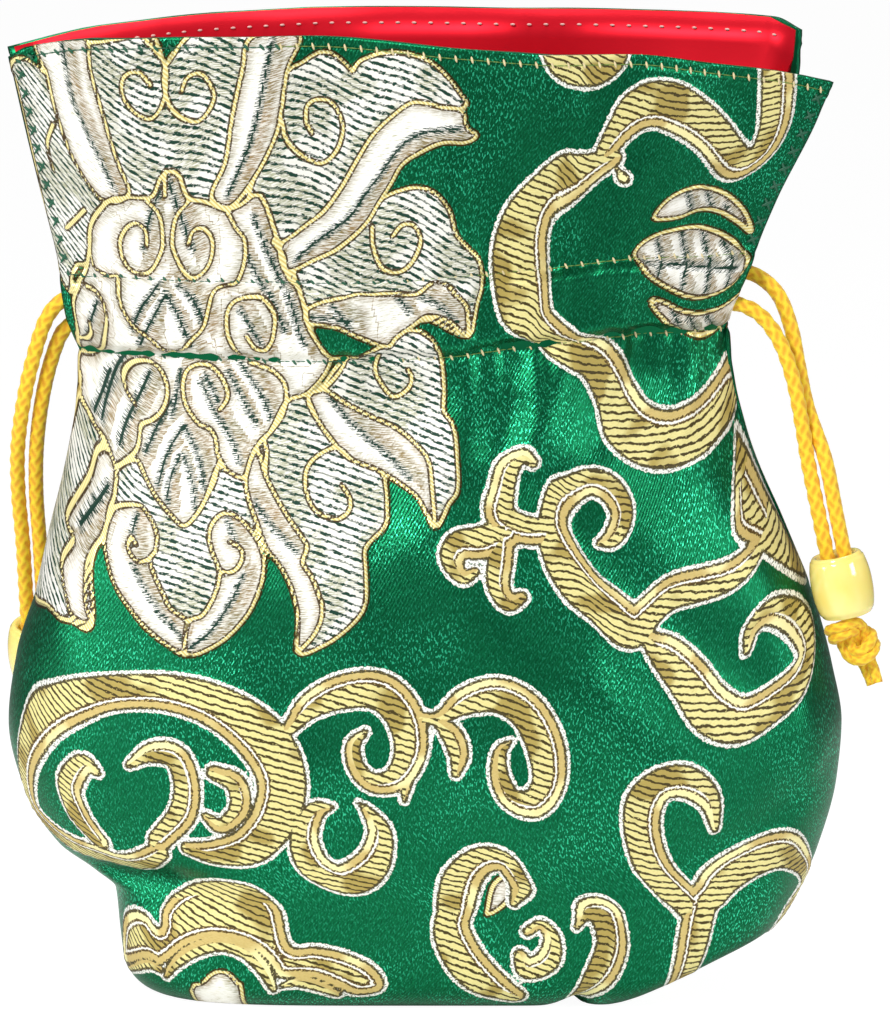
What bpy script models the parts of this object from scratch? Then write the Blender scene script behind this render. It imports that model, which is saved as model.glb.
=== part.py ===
"""A kinchaku: a small brocade drawstring pouch that stands open.

Metres, +Z up. The front looks along -Y, and the base lies on Z = 0.
Two brocade panels form the shell: each has half of the boxed base, half of the drawstring casing
and one flap above it. Each is lined in red. Two cords run round the casing, one out of each side,
and each is tied in an overhand knot under a barrel bead that slides on its two strands.
"""

import math

import bmesh
import bpy
import numpy as np
from mathutils import Matrix, Vector

# Main sizes. The tables and routes below are stretched to them.
POUCH_WIDTH = 0.1174
POUCH_DEPTH = 0.0450
POUCH_HEIGHT = 0.1374

# Where the pouch stands: its middle lies over the origin.
STAND_AT = (0.00067, 0.0, 0.0)

# Outline seen from the front: heights, and how far the left and right side seams are out there.
LEFT_EDGE = [
    (0.000, -0.0430), (0.009, -0.0440), (0.0145, -0.0446), (0.0175, -0.0480), (0.021, -0.0528),
    (0.028, -0.0572), (0.038, -0.0594), (0.048, -0.0581), (0.058, -0.0549), (0.072, -0.0514),
    (0.086, -0.0490), (0.0912, -0.0488), (0.096, -0.0504), (0.102, -0.0512), (0.120, -0.0554),
    (0.138, -0.0592),
]
RIGHT_EDGE = [
    (0.000, 0.0425), (0.006, 0.0462), (0.0125, 0.0512), (0.020, 0.0548), (0.030, 0.0574),
    (0.038, 0.0580), (0.046, 0.0566), (0.056, 0.0538), (0.066, 0.0494), (0.080, 0.0440),
    (0.090, 0.0418), (0.095, 0.0414), (0.101, 0.0436), (0.112, 0.0480), (0.124, 0.0538),
    (0.131, 0.0560), (0.138, 0.0560),
]
# Half of the depth, front to back, at each height.
HALF_DEPTH = [
    (0.000, 0.0175), (0.012, 0.0192), (0.036, 0.0225), (0.056, 0.0205), (0.075, 0.0160),
    (0.090, 0.0128), (0.102, 0.0124), (0.120, 0.0130), (0.138, 0.0135),
]
# Top edges of the two flaps: how far across, and how high.
FRONT_RIM = [
    (-0.0592, 0.1318), (-0.0560, 0.1334), (-0.046, 0.1348), (-0.018, 0.1356), (0.005, 0.1340),
    (0.016, 0.1332), (0.0273, 0.1331), (0.0385, 0.1315), (0.0497, 0.1298), (0.0560, 0.1283),
]
BACK_RIM = [
    (-0.0592, 0.1329), (-0.046, 0.1354), (-0.028, 0.1368), (0.000, 0.1374), (0.036, 0.1372),
    (0.048, 0.1368), (0.0515, 0.1352),
]
BACK_FLAP_IN = 0.0048  # how far the back flap's right edge stays inside the front flap's
BACK_FLAP_IN_REACH = 0.030  # over how much height it comes to be so

# Superellipse sections: a rounded box at the base, an oval body, a lens at the neck and flaps.
BOX_TOP = 0.026
NECK_START = 0.060
NECK_REACH = 0.028
OVAL_POWER = 2.3
BOX_POWER_MORE = 2.6
LENS_POWER_LESS = 0.1
OVAL_ROOT = 2.0
BOX_ROOT_MORE = 0.4
LENS_ROOT_LESS = 0.85
OVAL_SPREAD = 0.85
LENS_SPREAD_LESS = 0.45

# Cloth
PANEL_WALL = 0.0008
LINING_WALL = 0.0005
LAYER_GAP = 0.0006
SEAM_GAP = 0.0003
SIDE_ROOM_PER_INSET = 2.2  # a layer inside another is this many insets shorter at each side
SIDE_ROOM_BELOW = 0.15  # the share of that room which it keeps below the neck
BASE_EDGE_RADIUS = 0.0050

# Drawstring casing, between its two rows of stitches
CASING_LOW = 0.0912
CASING_HIGH = 0.1018
CASING_RISE = 0.0030  # how much higher the rows lie at the right
CASING_RISE_FROM = -0.2  # where across the panel the rise begins, from -1 to 1
CASING_BULGE = 0.0012
CASING_RAMP = 0.0017
CASING_RECESS = 0.0024
CASING_END_ROOM = 0.0060
SLIT_HALF = 0.0032
FLAP_HALF_GAP = 0.0013
PUCKER_DEPTH = 0.0006
PUCKERS = 9

# Folds in the cloth
FLAP_FOLDS = [
    (-0.044, 0.0060, 0.0018), (-0.012, 0.0085, -0.0020),
    (0.016, 0.0070, 0.0017), (0.041, 0.0055, -0.0016),
]
NECK_FOLDS = [
    (-0.030, 0.0050, 0.0013), (-0.008, 0.0060, -0.0012),
    (0.014, 0.0055, 0.0014), (0.031, 0.0045, -0.0012),
]
NECK_FOLD_REACH = 0.026
NECK_FOLD_END = 0.006
FOLD_END_POWER = 4
CREASE_HEIGHT = 0.0180
CREASE_DEPTH = 0.0032
CREASE_HALF_WIDTH = 0.0026
CREASE_FROM = -0.55  # where across the panel the crease begins, from -1 to 1
CREASE_RUN = 0.25
CREASE_SEAM_RUN = 0.12
CORNER_LIFT = 0.0062
CORNER_LIFT_FROM = 0.62
LIFT_TOP = 0.020
NOTCH_AT = 0.0220
NOTCH_HALF_WIDTH = 0.0024
NOTCH_LIFT = 0.0016

# Cords, beads and knots
CORD_DIAMETER = 0.0022
STRAND_SPACING = 0.0024
STRAIGHT_REACH = 0.0225
BEAD_LENGTH = 0.0088
BEAD_DIAMETER = 0.0086
BEAD_END_DIAMETER = 0.0072
BEAD_LIP = 0.0004
BEAD_BORE = 0.0054
BEAD_SIDES = 24
BARREL_SHARES = (-0.93, -0.6, -0.2, 0.2, 0.6, 0.93)
BARREL_POWER = 2.2
BEAD_ON_KNOT_GAP = 0.0003
KNOT_CORD_DIAMETER = 0.0018
KNOT_TOP = 0.0031  # how far the knot's lump reaches up from its middle
BEAD_RIGHT_CENTRE = Vector((0.0574, -0.0050, 0.0585))
BEAD_RIGHT_UP = Vector((-0.208, 0.0, 0.978)).normalized()
BEAD_LEFT_CENTRE = Vector((-0.0563, 0.0145, 0.0450))
BEAD_LEFT_UP = Vector((-0.020, -0.280, 0.960)).normalized()

# The cords between their straight strands: out of one slit, round the casing and back.
RIGHT_ROUTE = [
    (0.0516, -0.0051, 0.0810), (0.0504, -0.0046, 0.0870), (0.0486, -0.0036, 0.0922),
    (0.0460, -0.0024, 0.0958), (0.0430, -0.0018, 0.0974), (0.0400, -0.0019, 0.0976),
    (0.0370, -0.0029, 0.0976), (0.0300, -0.0052, 0.0976), (0.0200, -0.0081, 0.0970),
    (0.0100, -0.0100, 0.0961), (0.0000, -0.0110, 0.0952), (-0.0100, -0.0110, 0.0947),
    (-0.0200, -0.0100, 0.0946), (-0.0300, -0.0079, 0.0946), (-0.0370, -0.0058, 0.0946),
    (-0.0425, -0.0040, 0.0947), (-0.0455, -0.0024, 0.0953), (-0.0465, 0.0000, 0.0965),
    (-0.0455, 0.0024, 0.0977), (-0.0425, 0.0040, 0.0983), (-0.0370, 0.0058, 0.0984),
    (-0.0300, 0.0079, 0.0984), (-0.0200, 0.0099, 0.0984), (-0.0100, 0.0109, 0.0985),
    (0.0000, 0.0109, 0.0990), (0.0100, 0.0101, 0.0999), (0.0200, 0.0083, 0.1008),
    (0.0300, 0.0056, 0.1014), (0.0365, 0.0035, 0.1014), (0.0395, 0.0025, 0.1016),
    (0.0422, 0.0018, 0.1017), (0.0455, 0.0013, 0.1010), (0.0484, 0.0004, 0.0985),
    (0.0502, -0.0006, 0.0940), (0.0512, -0.0016, 0.0890), (0.0525, -0.0027, 0.0830),
]
LEFT_ROUTE = [
    (-0.0582, 0.0076, 0.0690), (-0.0580, 0.0052, 0.0760), (-0.0569, 0.0026, 0.0830),
    (-0.0553, 0.0008, 0.0895), (-0.0534, -0.0007, 0.0950), (-0.0512, -0.0015, 0.0978),
    (-0.0486, -0.0019, 0.0985), (-0.0460, -0.0029, 0.0985), (-0.0420, -0.0043, 0.0984),
    (-0.0370, -0.0058, 0.0984), (-0.0300, -0.0079, 0.0984), (-0.0200, -0.0099, 0.0984),
    (-0.0100, -0.0109, 0.0985), (0.0000, -0.0109, 0.0990), (0.0100, -0.0101, 0.0999),
    (0.0200, -0.0083, 0.1008), (0.0300, -0.0056, 0.1013), (0.0350, -0.0040, 0.1011),
    (0.0380, -0.0024, 0.1005), (0.0390, 0.0000, 0.0994), (0.0380, 0.0024, 0.0983),
    (0.0350, 0.0040, 0.0977), (0.0300, 0.0054, 0.0976), (0.0200, 0.0081, 0.0970),
    (0.0100, 0.0100, 0.0961), (0.0000, 0.0110, 0.0952), (-0.0100, 0.0110, 0.0947),
    (-0.0200, 0.0100, 0.0946), (-0.0300, 0.0079, 0.0946), (-0.0370, 0.0058, 0.0946),
    (-0.0420, 0.0043, 0.0946), (-0.0460, 0.0029, 0.0947), (-0.0484, 0.0014, 0.0948),
    (-0.0510, 0.0013, 0.0934), (-0.0529, 0.0026, 0.0890), (-0.0544, 0.0039, 0.0830),
    (-0.0554, 0.0058, 0.0760), (-0.0557, 0.0079, 0.0690),
]
# An overhand knot about the strands' axis, and its tail: across, back and up from the knot's middle.
KNOT_ROUTE = [
    (-0.0012, 0.0000, 0.0028), (-0.0011, 0.0000, 0.0019), (-0.0011, 0.0001, 0.0006),
    (-0.0011, -0.0001, -0.0011), (-0.0005, -0.0011, -0.0025), (0.0010, -0.0022, -0.0026),
    (0.0027, -0.0013, -0.0017), (0.0031, 0.0007, -0.0008), (0.0015, 0.0023, -0.0001),
    (-0.0011, 0.0023, 0.0004), (-0.0030, 0.0009, 0.0009), (-0.0030, -0.0011, 0.0015),
    (-0.0014, -0.0023, 0.0020), (0.0004, -0.0016, 0.0021), (0.0012, -0.0002, 0.0011),
    (0.0011, 0.0001, -0.0007), (0.0011, 0.0002, -0.0025), (0.0014, 0.0004, -0.0042),
    (0.0018, 0.0002, -0.0062), (0.0020, -0.0001, -0.0080),
]

# Rows of points up a panel: shares of the base from its middle seam, heights, shares of a flap.
BASE_ROWS = (0.0, 0.5)
BASE_EDGE_ANGLES = (0.0, 45.0, 90.0)
BODY_ROWS = (
    0.010, 0.0140, 0.0165, 0.0190, 0.0225, 0.028, 0.036, 0.045, 0.054, 0.063, 0.072, 0.080, 0.0865,
)
LINING_BODY_ROWS = (0.0130, 0.0165, 0.0195, 0.028, 0.040, 0.054, 0.068, 0.080, 0.0865)
FLAP_ROWS = (0.12, 0.35, 0.6, 0.82, 1.0)
LINING_FLAP_ROWS = (0.12, 0.4, 0.7, 0.98)
PANEL_COLUMNS = 30
LINING_COLUMNS = 22

STEPS_BETWEEN_POINTS = 16
CORD_STEP_PER_DIAMETER = 2.5
KNOT_STEP_PER_DIAMETER = 0.65

FRONT, BACK = -1.0, 1.0

GREEN = (0.0, 0.17, 0.085, 1.0)
RED = (0.62, 0.012, 0.020, 1.0)
YELLOW = (0.95, 0.48, 0.02, 1.0)
CREAM = (0.95, 0.78, 0.30, 1.0)


def stretched(points, *scales):
    return [tuple(value * scale for value, scale in zip(point, scales)) for point in points]


ACROSS = POUCH_WIDTH / (max(x for _, x in RIGHT_EDGE) - min(x for _, x in LEFT_EDGE))
BACKWARDS = POUCH_DEPTH / (2 * max(y for _, y in HALF_DEPTH))
UPWARDS = POUCH_HEIGHT / max(z for _, z in FRONT_RIM + BACK_RIM)
LEFT_EDGE = stretched(LEFT_EDGE, UPWARDS, ACROSS)
RIGHT_EDGE = stretched(RIGHT_EDGE, UPWARDS, ACROSS)
HALF_DEPTH = stretched(HALF_DEPTH, UPWARDS, BACKWARDS)
FRONT_RIM = stretched(FRONT_RIM, ACROSS, UPWARDS)
BACK_RIM = stretched(BACK_RIM, ACROSS, UPWARDS)
FLAP_FOLDS = stretched(FLAP_FOLDS, ACROSS, ACROSS, BACKWARDS)
NECK_FOLDS = stretched(NECK_FOLDS, ACROSS, ACROSS, BACKWARDS)
CASING_LOW, CASING_HIGH = CASING_LOW * UPWARDS, CASING_HIGH * UPWARDS
BODY_ROWS = [height * UPWARDS for height in BODY_ROWS]
LINING_BODY_ROWS = [height * UPWARDS for height in LINING_BODY_ROWS]
RIGHT_ROUTE = stretched(RIGHT_ROUTE, ACROSS, BACKWARDS, UPWARDS)
LEFT_ROUTE = stretched(LEFT_ROUTE, ACROSS, BACKWARDS, UPWARDS)
BEAD_RIGHT_CENTRE = Vector(stretched([BEAD_RIGHT_CENTRE], ACROSS, BACKWARDS, UPWARDS)[0])
BEAD_LEFT_CENTRE = Vector(stretched([BEAD_LEFT_CENTRE], ACROSS, BACKWARDS, UPWARDS)[0])


def clear_scene():
    for obj in list(bpy.data.objects):
        bpy.data.objects.remove(obj, do_unlink=True)


def material(name, colour, roughness, metallic=0.0):
    made = bpy.data.materials.new(name)
    made.use_nodes = True
    shader = made.node_tree.nodes["Principled BSDF"]
    shader.inputs["Base Color"].default_value = colour
    shader.inputs["Roughness"].default_value = roughness
    shader.inputs["Metallic"].default_value = metallic
    return made


def smooth_step(value):
    value = np.clip(value, 0.0, 1.0)
    return value * value * (3.0 - 2.0 * value)


def curve_through(points, at):
    """A smooth curve through the points that never overshoots them, read at the given places."""
    x, y = np.array(points, float).T
    step, rise = np.diff(x), np.diff(y)
    slope = rise / step
    tangent = np.empty_like(y)
    tangent[0], tangent[-1] = slope[0], slope[-1]
    same_way = slope[:-1] * slope[1:] > 0
    mean = 2.0 * slope[:-1] * slope[1:] / np.where(same_way, slope[:-1] + slope[1:], 1.0)
    tangent[1:-1] = np.where(same_way, mean, 0.0)
    at = np.clip(at, x[0], x[-1])
    i = np.clip(np.searchsorted(x, at) - 1, 0, len(step) - 1)
    t = (at - x[i]) / step[i]
    low, high = y[i], y[i + 1]
    return (
        low * (1 + 2 * t) * (1 - t) ** 2
        + high * t * t * (3 - 2 * t)
        + step[i] * (tangent[i] * t * (1 - t) ** 2 - tangent[i + 1] * t * t * (1 - t))
    )


def casing_share(height):
    """1 inside the casing, falling to 0 at its rows of stitches."""
    inside = np.minimum(height - CASING_LOW, CASING_HIGH - height)
    return smooth_step(inside / CASING_RAMP)


def side_gap(height, slit):
    """Half of the gap between front and back at the sides: a seam, then the slit, then the flaps."""
    opened = smooth_step((height - CASING_LOW) / CASING_RAMP)
    flap = smooth_step((height - CASING_HIGH + CASING_RAMP) / (2.0 * CASING_RAMP))
    return SEAM_GAP / 2 + opened * ((1.0 - flap) * slit + flap * FLAP_HALF_GAP)


def folds(across, list_of_folds):
    total = np.zeros_like(across)
    for place, half_width, amount in list_of_folds:
        total += amount * np.exp(-(((across - place) / half_width) ** 2))
    return total


def rows_of(body_rows, flap_rows):
    """(kind, value) for each row of points, from the base's middle seam up to the rim."""
    rows = [("base", share) for share in BASE_ROWS]
    rows += [("edge", math.radians(angle)) for angle in BASE_EDGE_ANGLES]
    rows += [("wall", height) for height in body_rows]
    middle = (CASING_LOW + CASING_HIGH) / 2
    rows += [("wall", CASING_LOW), ("wall", CASING_LOW + CASING_RAMP), ("wall", middle)]
    rows += [("wall", CASING_HIGH - CASING_RAMP), ("wall", CASING_HIGH)]
    return rows + [("flap", share) for share in flap_rows]


def cloth_row(kind, value, columns, side, inset, end_inset, is_lining):
    """One row of points across a panel. inset is how far this face lies inside the outer one."""
    tau = np.linspace(-1.0, 1.0, columns + 1)
    radius = BASE_EDGE_RADIUS
    depth_share, in_from_edge = 1.0, inset
    if kind == "base":
        nominal, depth_share, in_from_edge = inset, value, radius
    elif kind == "edge":
        in_from_edge = radius - (radius - inset) * math.sin(value)
        nominal = radius - (radius - inset) * math.cos(value)
    elif kind == "wall":
        nominal = value
    else:
        nominal = CASING_HIGH + value * (HALF_DEPTH[-1][0] - CASING_HIGH)

    boxy = 1.0 - smooth_step(nominal / BOX_TOP)
    lens = smooth_step((nominal - NECK_START) / NECK_REACH)
    power = OVAL_POWER + BOX_POWER_MORE * boxy - LENS_POWER_LESS * lens
    root = OVAL_ROOT + BOX_ROOT_MORE * boxy - LENS_ROOT_LESS * lens
    spread = OVAL_SPREAD - LENS_SPREAD_LESS * lens
    s = (1.0 - spread) * tau + spread * np.sin(tau * math.pi / 2)
    shape = (1.0 - np.abs(s) ** power).clip(0.0) ** (1.0 / root)

    height = np.full_like(s, nominal)
    rise = CASING_RISE * smooth_step(s - CASING_RISE_FROM)
    if kind == "flap":
        rim = FRONT_RIM if side == FRONT else BACK_RIM
        reach = (rim[-1][0] - rim[0][0]) / 2
        edge = curve_through(rim, (rim[-1][0] + rim[0][0]) / 2 + s * reach)
        low = CASING_HIGH + rise
        height = low + value * (edge - low)
    else:
        height += rise * smooth_step((nominal - NECK_START) / (CASING_LOW - NECK_START))
        lift = CORNER_LIFT * smooth_step((s - CORNER_LIFT_FROM) / (1.0 - CORNER_LIFT_FROM))
        if side == FRONT:
            notch = (s * LEFT_EDGE[1][1] + NOTCH_AT) / NOTCH_HALF_WIDTH
            lift = lift + NOTCH_LIFT * np.exp(-(notch ** 2))
        height += lift * (1.0 - smooth_step(nominal / LIFT_TOP))

    left, right = curve_through(LEFT_EDGE, height), curve_through(RIGHT_EDGE, height)
    if side == BACK:
        right = right - BACK_FLAP_IN * smooth_step((height - CASING_HIGH) / BACK_FLAP_IN_REACH)
    half_width, centre = (right - left) / 2, (right + left) / 2
    in_casing = casing_share(np.full_like(s, nominal))
    half_width = half_width - in_from_edge - (end_inset - inset) * (lens + SIDE_ROOM_BELOW)
    half_depth = curve_through(HALF_DEPTH, height) - in_from_edge
    if is_lining:
        half_width = half_width - CASING_END_ROOM * in_casing
        half_depth = half_depth - CASING_RECESS * in_casing
    else:
        wave = (1.0 - np.cos(tau * math.pi * PUCKERS)) / 2
        half_depth = half_depth + (CASING_BULGE + PUCKER_DEPTH * wave) * in_casing
    x = centre + s * half_width
    gap = side_gap(np.full_like(s, nominal), 0.0 if is_lining else SLIT_HALF)
    depth = (half_depth - gap) * shape * depth_share

    in_middle = (1.0 - np.abs(s) ** FOLD_END_POWER).clip(0.0)
    above = smooth_step((height - CASING_HIGH) / (HALF_DEPTH[-1][0] - CASING_HIGH))
    below = smooth_step((nominal - CASING_LOW + NECK_FOLD_REACH) / NECK_FOLD_REACH)
    below = below * smooth_step((CASING_LOW - nominal) / NECK_FOLD_END)
    mirrored = x if side == FRONT else -x
    depth = depth + in_middle * above * folds(mirrored, FLAP_FOLDS)
    depth = depth + in_middle * below * folds(mirrored, NECK_FOLDS)
    crease = np.exp(-(((height - CREASE_HEIGHT) / CREASE_HALF_WIDTH) ** 2))
    crease_ends = smooth_step((CREASE_FROM - s) / CREASE_RUN) * smooth_step((1.0 + s) / CREASE_SEAM_RUN)
    if kind == "wall":
        depth = depth - CREASE_DEPTH * crease * crease_ends
    return np.stack([x, side * (depth + gap), height], axis=1)


def cloth(name, side, outer_inset, wall, columns, rows, end_inset, is_lining, finish):
    """A sheet of cloth as one closed wall: an outer and an inner face, joined round their border."""
    faces_of_points = []
    inner_ends = end_inset + SIDE_ROOM_PER_INSET * wall
    for inset, ends in ((outer_inset, end_inset), (outer_inset + wall, inner_ends)):
        lines = [cloth_row(kind, value, columns, side, inset, ends, is_lining) for kind, value in rows]
        faces_of_points.append(np.array(lines))
    outer, inner = faces_of_points
    count = len(rows) * (columns + 1)
    points = np.concatenate([outer.reshape(-1, 3), inner.reshape(-1, 3)])

    def at(row, column, layer):
        return layer * count + row * (columns + 1) + column

    faces = []
    for row in range(len(rows) - 1):
        for column in range(columns):
            square = [(row, column), (row, column + 1), (row + 1, column + 1), (row + 1, column)]
            faces.append([at(r, c, 0) for r, c in square])
            faces.append([at(r, c, 1) for r, c in reversed(square)])
    top = len(rows) - 1
    border = [(0, c) for c in range(columns)] + [(r, columns) for r in range(top)]
    border += [(top, c) for c in range(columns, 0, -1)] + [(r, 0) for r in range(top, 0, -1)]
    for (r0, c0), (r1, c1) in zip(border, border[1:] + border[:1]):
        faces.append([at(r0, c0, 1), at(r1, c1, 1), at(r1, c1, 0), at(r0, c0, 0)])
    if side == BACK:
        faces = [face[::-1] for face in faces]
    return mesh_object(name, points, faces, finish)


def mesh_object(name, points, faces, finish, smooth=True):
    mesh = bpy.data.meshes.new(name)
    mesh.from_pydata([tuple(p) for p in points], [], faces)
    work = bmesh.new()
    work.from_mesh(mesh)
    bmesh.ops.remove_doubles(work, verts=work.verts, dist=1e-6)
    work.to_mesh(mesh)
    work.free()
    if smooth:
        mesh.shade_smooth()
    mesh.materials.append(finish)
    made = bpy.data.objects.new(name, mesh)
    bpy.context.scene.collection.objects.link(made)
    return made


def curve_line(route, spacing):
    """Points along a smooth curve through the route, about spacing apart."""
    p = [Vector(point) for point in route]
    p = [2 * p[0] - p[1]] + p + [2 * p[-1] - p[-2]]
    fine = []
    for a, b, c, d in zip(p, p[1:], p[2:], p[3:]):
        for k in range(STEPS_BETWEEN_POINTS):
            t = k / STEPS_BETWEEN_POINTS
            bend = (2 * a - 5 * b + 4 * c - d) * t ** 2 + (3 * b - a - 3 * c + d) * t ** 3
            fine.append((2 * b + (c - a) * t + bend) / 2)
    fine.append(p[-2])
    lengths = np.concatenate([[0.0], np.cumsum([(q - o).length for o, q in zip(fine, fine[1:])])])
    stops = np.linspace(0.0, lengths[-1], max(2, round(lengths[-1] / spacing) + 1))
    fine = np.array(fine)
    return [Vector([np.interp(stop, lengths, fine[:, k]) for k in range(3)]) for stop in stops]


def tube(name, line, diameter, finish):
    data = bpy.data.curves.new(name, "CURVE")
    data.dimensions = "3D"
    data.bevel_depth = diameter / 2
    data.bevel_resolution = 2
    data.use_fill_caps = True
    spline = data.splines.new("POLY")
    spline.points.add(len(line) - 1)
    for point, place in zip(spline.points, line):
        point.co = (*place, 1.0)
    data.materials.append(finish)
    made = bpy.data.objects.new(name, data)
    bpy.context.scene.collection.objects.link(made)
    return made


def frame_at(centre, up):
    """A matrix whose Z runs along up and whose origin is centre."""
    return Matrix.Translation(centre) @ up.to_track_quat("Z", "Y").to_matrix().to_4x4()


def bead(name, centre, up, finish):
    """A barrel with a rounded lip at each end, turned about its own axis and open through."""
    half, lip = BEAD_LENGTH / 2, BEAD_LIP
    end = BEAD_END_DIAMETER / 2
    middle = BEAD_DIAMETER / 2
    profile = [(BEAD_BORE / 2, -half + lip), (BEAD_BORE / 2 + lip, -half), (end - lip / 2, -half)]
    for share in BARREL_SHARES:
        profile.append((middle - (middle - end) * abs(share) ** BARREL_POWER, share * half))
    profile += [(end - lip / 2, half), (BEAD_BORE / 2 + lip, half), (BEAD_BORE / 2, half - lip)]
    sides = BEAD_SIDES
    points, faces = [], []
    for k in range(sides):
        angle = 2 * math.pi * k / sides
        points += [(r * math.cos(angle), r * math.sin(angle), z) for r, z in profile]
    n = len(profile)
    for k in range(sides):
        for j in range(n):
            a, b = k * n, (k + 1) % sides * n
            faces.append([a + j, b + j, b + (j + 1) % n, a + (j + 1) % n])
    made = mesh_object(name, points, faces, finish)
    made.matrix_world = frame_at(centre, up)
    return made


def axes_on(up):
    """Across and back, square to a bead's axis: across stays in the plane of the flat pouch."""
    back = Vector((0.0, 1.0, 0.0))
    across = back.cross(up).normalized()
    return across, up.cross(across)


def strand(centre, up, across):
    """The straight stretch of one strand, from the knot's top up through the bead and its travel."""
    low = centre - up * (BEAD_LENGTH / 2 + BEAD_ON_KNOT_GAP)
    return [low + up * STRAIGHT_REACH * k / 3 + across * STRAND_SPACING / 2 for k in range(4)]


def drawstring(name, centre, up, route, finish):
    """One cord. Its first strand lies inwards at the right and outwards at the left."""
    across, _ = axes_on(up)
    first = strand(centre, up, -across)
    last = strand(centre, up, across)
    step = CORD_STEP_PER_DIAMETER * CORD_DIAMETER
    line = curve_line(first + [Vector(p) for p in route] + last[::-1], step)
    return tube(name, line, CORD_DIAMETER, finish)


def knot(name, centre, up, finish):
    across, back = axes_on(up)
    middle = centre - up * (BEAD_LENGTH / 2 + BEAD_ON_KNOT_GAP + KNOT_TOP)
    route = [middle + across * x + back * y + up * z for x, y, z in KNOT_ROUTE]
    line = curve_line(route, KNOT_STEP_PER_DIAMETER * KNOT_CORD_DIAMETER)
    return tube(name, line, KNOT_CORD_DIAMETER, finish)


def main():
    clear_scene()
    green = material("green_brocade", GREEN, 0.42)
    red = material("red_lining", RED, 0.5)
    panel_rows = rows_of(BODY_ROWS, FLAP_ROWS)
    lining_rows = rows_of(LINING_BODY_ROWS, LINING_FLAP_ROWS)
    lining_inset = PANEL_WALL + LAYER_GAP
    for word, side in (("front", FRONT), ("back", BACK)):
        cloth(f"{word}_panel", side, 0.0, PANEL_WALL, PANEL_COLUMNS, panel_rows, 0.0, False, green)
        cloth(
            f"lining_{word}", side, lining_inset, LINING_WALL, LINING_COLUMNS, lining_rows,
            SIDE_ROOM_PER_INSET * lining_inset, True, red,
        )
    yellow = material("yellow_cord", YELLOW, 0.7)
    cream = material("cream_bead", CREAM, 0.18)
    for word, centre, up, route in (
        ("right", BEAD_RIGHT_CENTRE, BEAD_RIGHT_UP, RIGHT_ROUTE),
        ("left", BEAD_LEFT_CENTRE, BEAD_LEFT_UP, LEFT_ROUTE),
    ):
        drawstring(f"drawstring_{word}", centre, up, route, yellow)
        knot(f"knot_{word}", centre, up, yellow)
        bead(f"bead_{word}", centre, up, cream)
    stand = bpy.data.objects.new("pouch", None)
    stand.location = STAND_AT
    for obj in list(bpy.context.scene.collection.objects):
        obj.parent = stand
    bpy.context.scene.collection.objects.link(stand)


main()
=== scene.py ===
"""The dressed drawstring pouch: brocade panels, red lining, stitches, braided cords and beads."""

import math

import bpy
import numpy as np
from bpy.props import FloatVectorProperty, IntProperty, PointerProperty
from bpy.types import Operator, Panel, PropertyGroup
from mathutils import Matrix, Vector


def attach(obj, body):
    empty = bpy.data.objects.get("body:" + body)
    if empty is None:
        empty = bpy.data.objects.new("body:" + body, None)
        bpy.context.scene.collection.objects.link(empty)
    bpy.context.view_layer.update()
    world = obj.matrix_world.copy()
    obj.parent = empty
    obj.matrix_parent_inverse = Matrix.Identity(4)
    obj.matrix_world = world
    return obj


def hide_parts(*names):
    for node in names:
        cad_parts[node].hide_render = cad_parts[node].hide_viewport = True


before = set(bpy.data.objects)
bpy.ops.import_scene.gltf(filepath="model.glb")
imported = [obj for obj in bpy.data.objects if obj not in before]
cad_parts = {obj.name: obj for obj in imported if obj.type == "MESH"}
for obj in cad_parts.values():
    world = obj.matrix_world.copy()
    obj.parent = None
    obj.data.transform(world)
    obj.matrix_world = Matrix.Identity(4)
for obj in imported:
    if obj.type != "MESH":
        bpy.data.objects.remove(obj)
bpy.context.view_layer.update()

bl_info = {
    "name": "Drawstring pouch",
    "version": (1, 0, 0),
    "blender": (4, 5, 0),
    "location": "3D View > Sidebar > Pouch",
    "description": "Builds a lined brocade drawstring pouch with braided cords and beads",
    "category": "Object",
}

# Where the pouch stands: its middle lies over the origin.
STAND_AT = np.array([0.00067, 0.0, 0.0])

# Outline seen from the front: heights, and how far the left and right side seams are out there.
LEFT_EDGE = [
    (0.000, -0.0430), (0.009, -0.0440), (0.0145, -0.0446), (0.0175, -0.0480), (0.021, -0.0528),
    (0.028, -0.0572), (0.038, -0.0594), (0.048, -0.0581), (0.058, -0.0549), (0.072, -0.0514),
    (0.086, -0.0490), (0.0912, -0.0488), (0.096, -0.0504), (0.102, -0.0512), (0.120, -0.0554),
    (0.138, -0.0592),
]
RIGHT_EDGE = [
    (0.000, 0.0425), (0.006, 0.0462), (0.0125, 0.0512), (0.020, 0.0548), (0.030, 0.0574),
    (0.038, 0.0580), (0.046, 0.0566), (0.056, 0.0538), (0.066, 0.0494), (0.080, 0.0440),
    (0.090, 0.0418), (0.095, 0.0414), (0.101, 0.0436), (0.112, 0.0480), (0.124, 0.0538),
    (0.131, 0.0560), (0.138, 0.0560),
]
HALF_DEPTH = [
    (0.000, 0.0175), (0.012, 0.0192), (0.036, 0.0225), (0.056, 0.0205), (0.075, 0.0160),
    (0.090, 0.0128), (0.102, 0.0124), (0.120, 0.0130), (0.138, 0.0135),
]
FRONT_RIM = [
    (-0.0592, 0.1318), (-0.0560, 0.1334), (-0.046, 0.1348), (-0.018, 0.1356), (0.005, 0.1340),
    (0.016, 0.1332), (0.0273, 0.1331), (0.0385, 0.1315), (0.0497, 0.1298), (0.0560, 0.1283),
]
BACK_RIM = [
    (-0.0592, 0.1329), (-0.046, 0.1354), (-0.028, 0.1368), (0.000, 0.1374), (0.036, 0.1372),
    (0.048, 0.1368), (0.0515, 0.1352),
]
BACK_FLAP_IN = 0.0048
BACK_FLAP_RISE = 0.030

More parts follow.
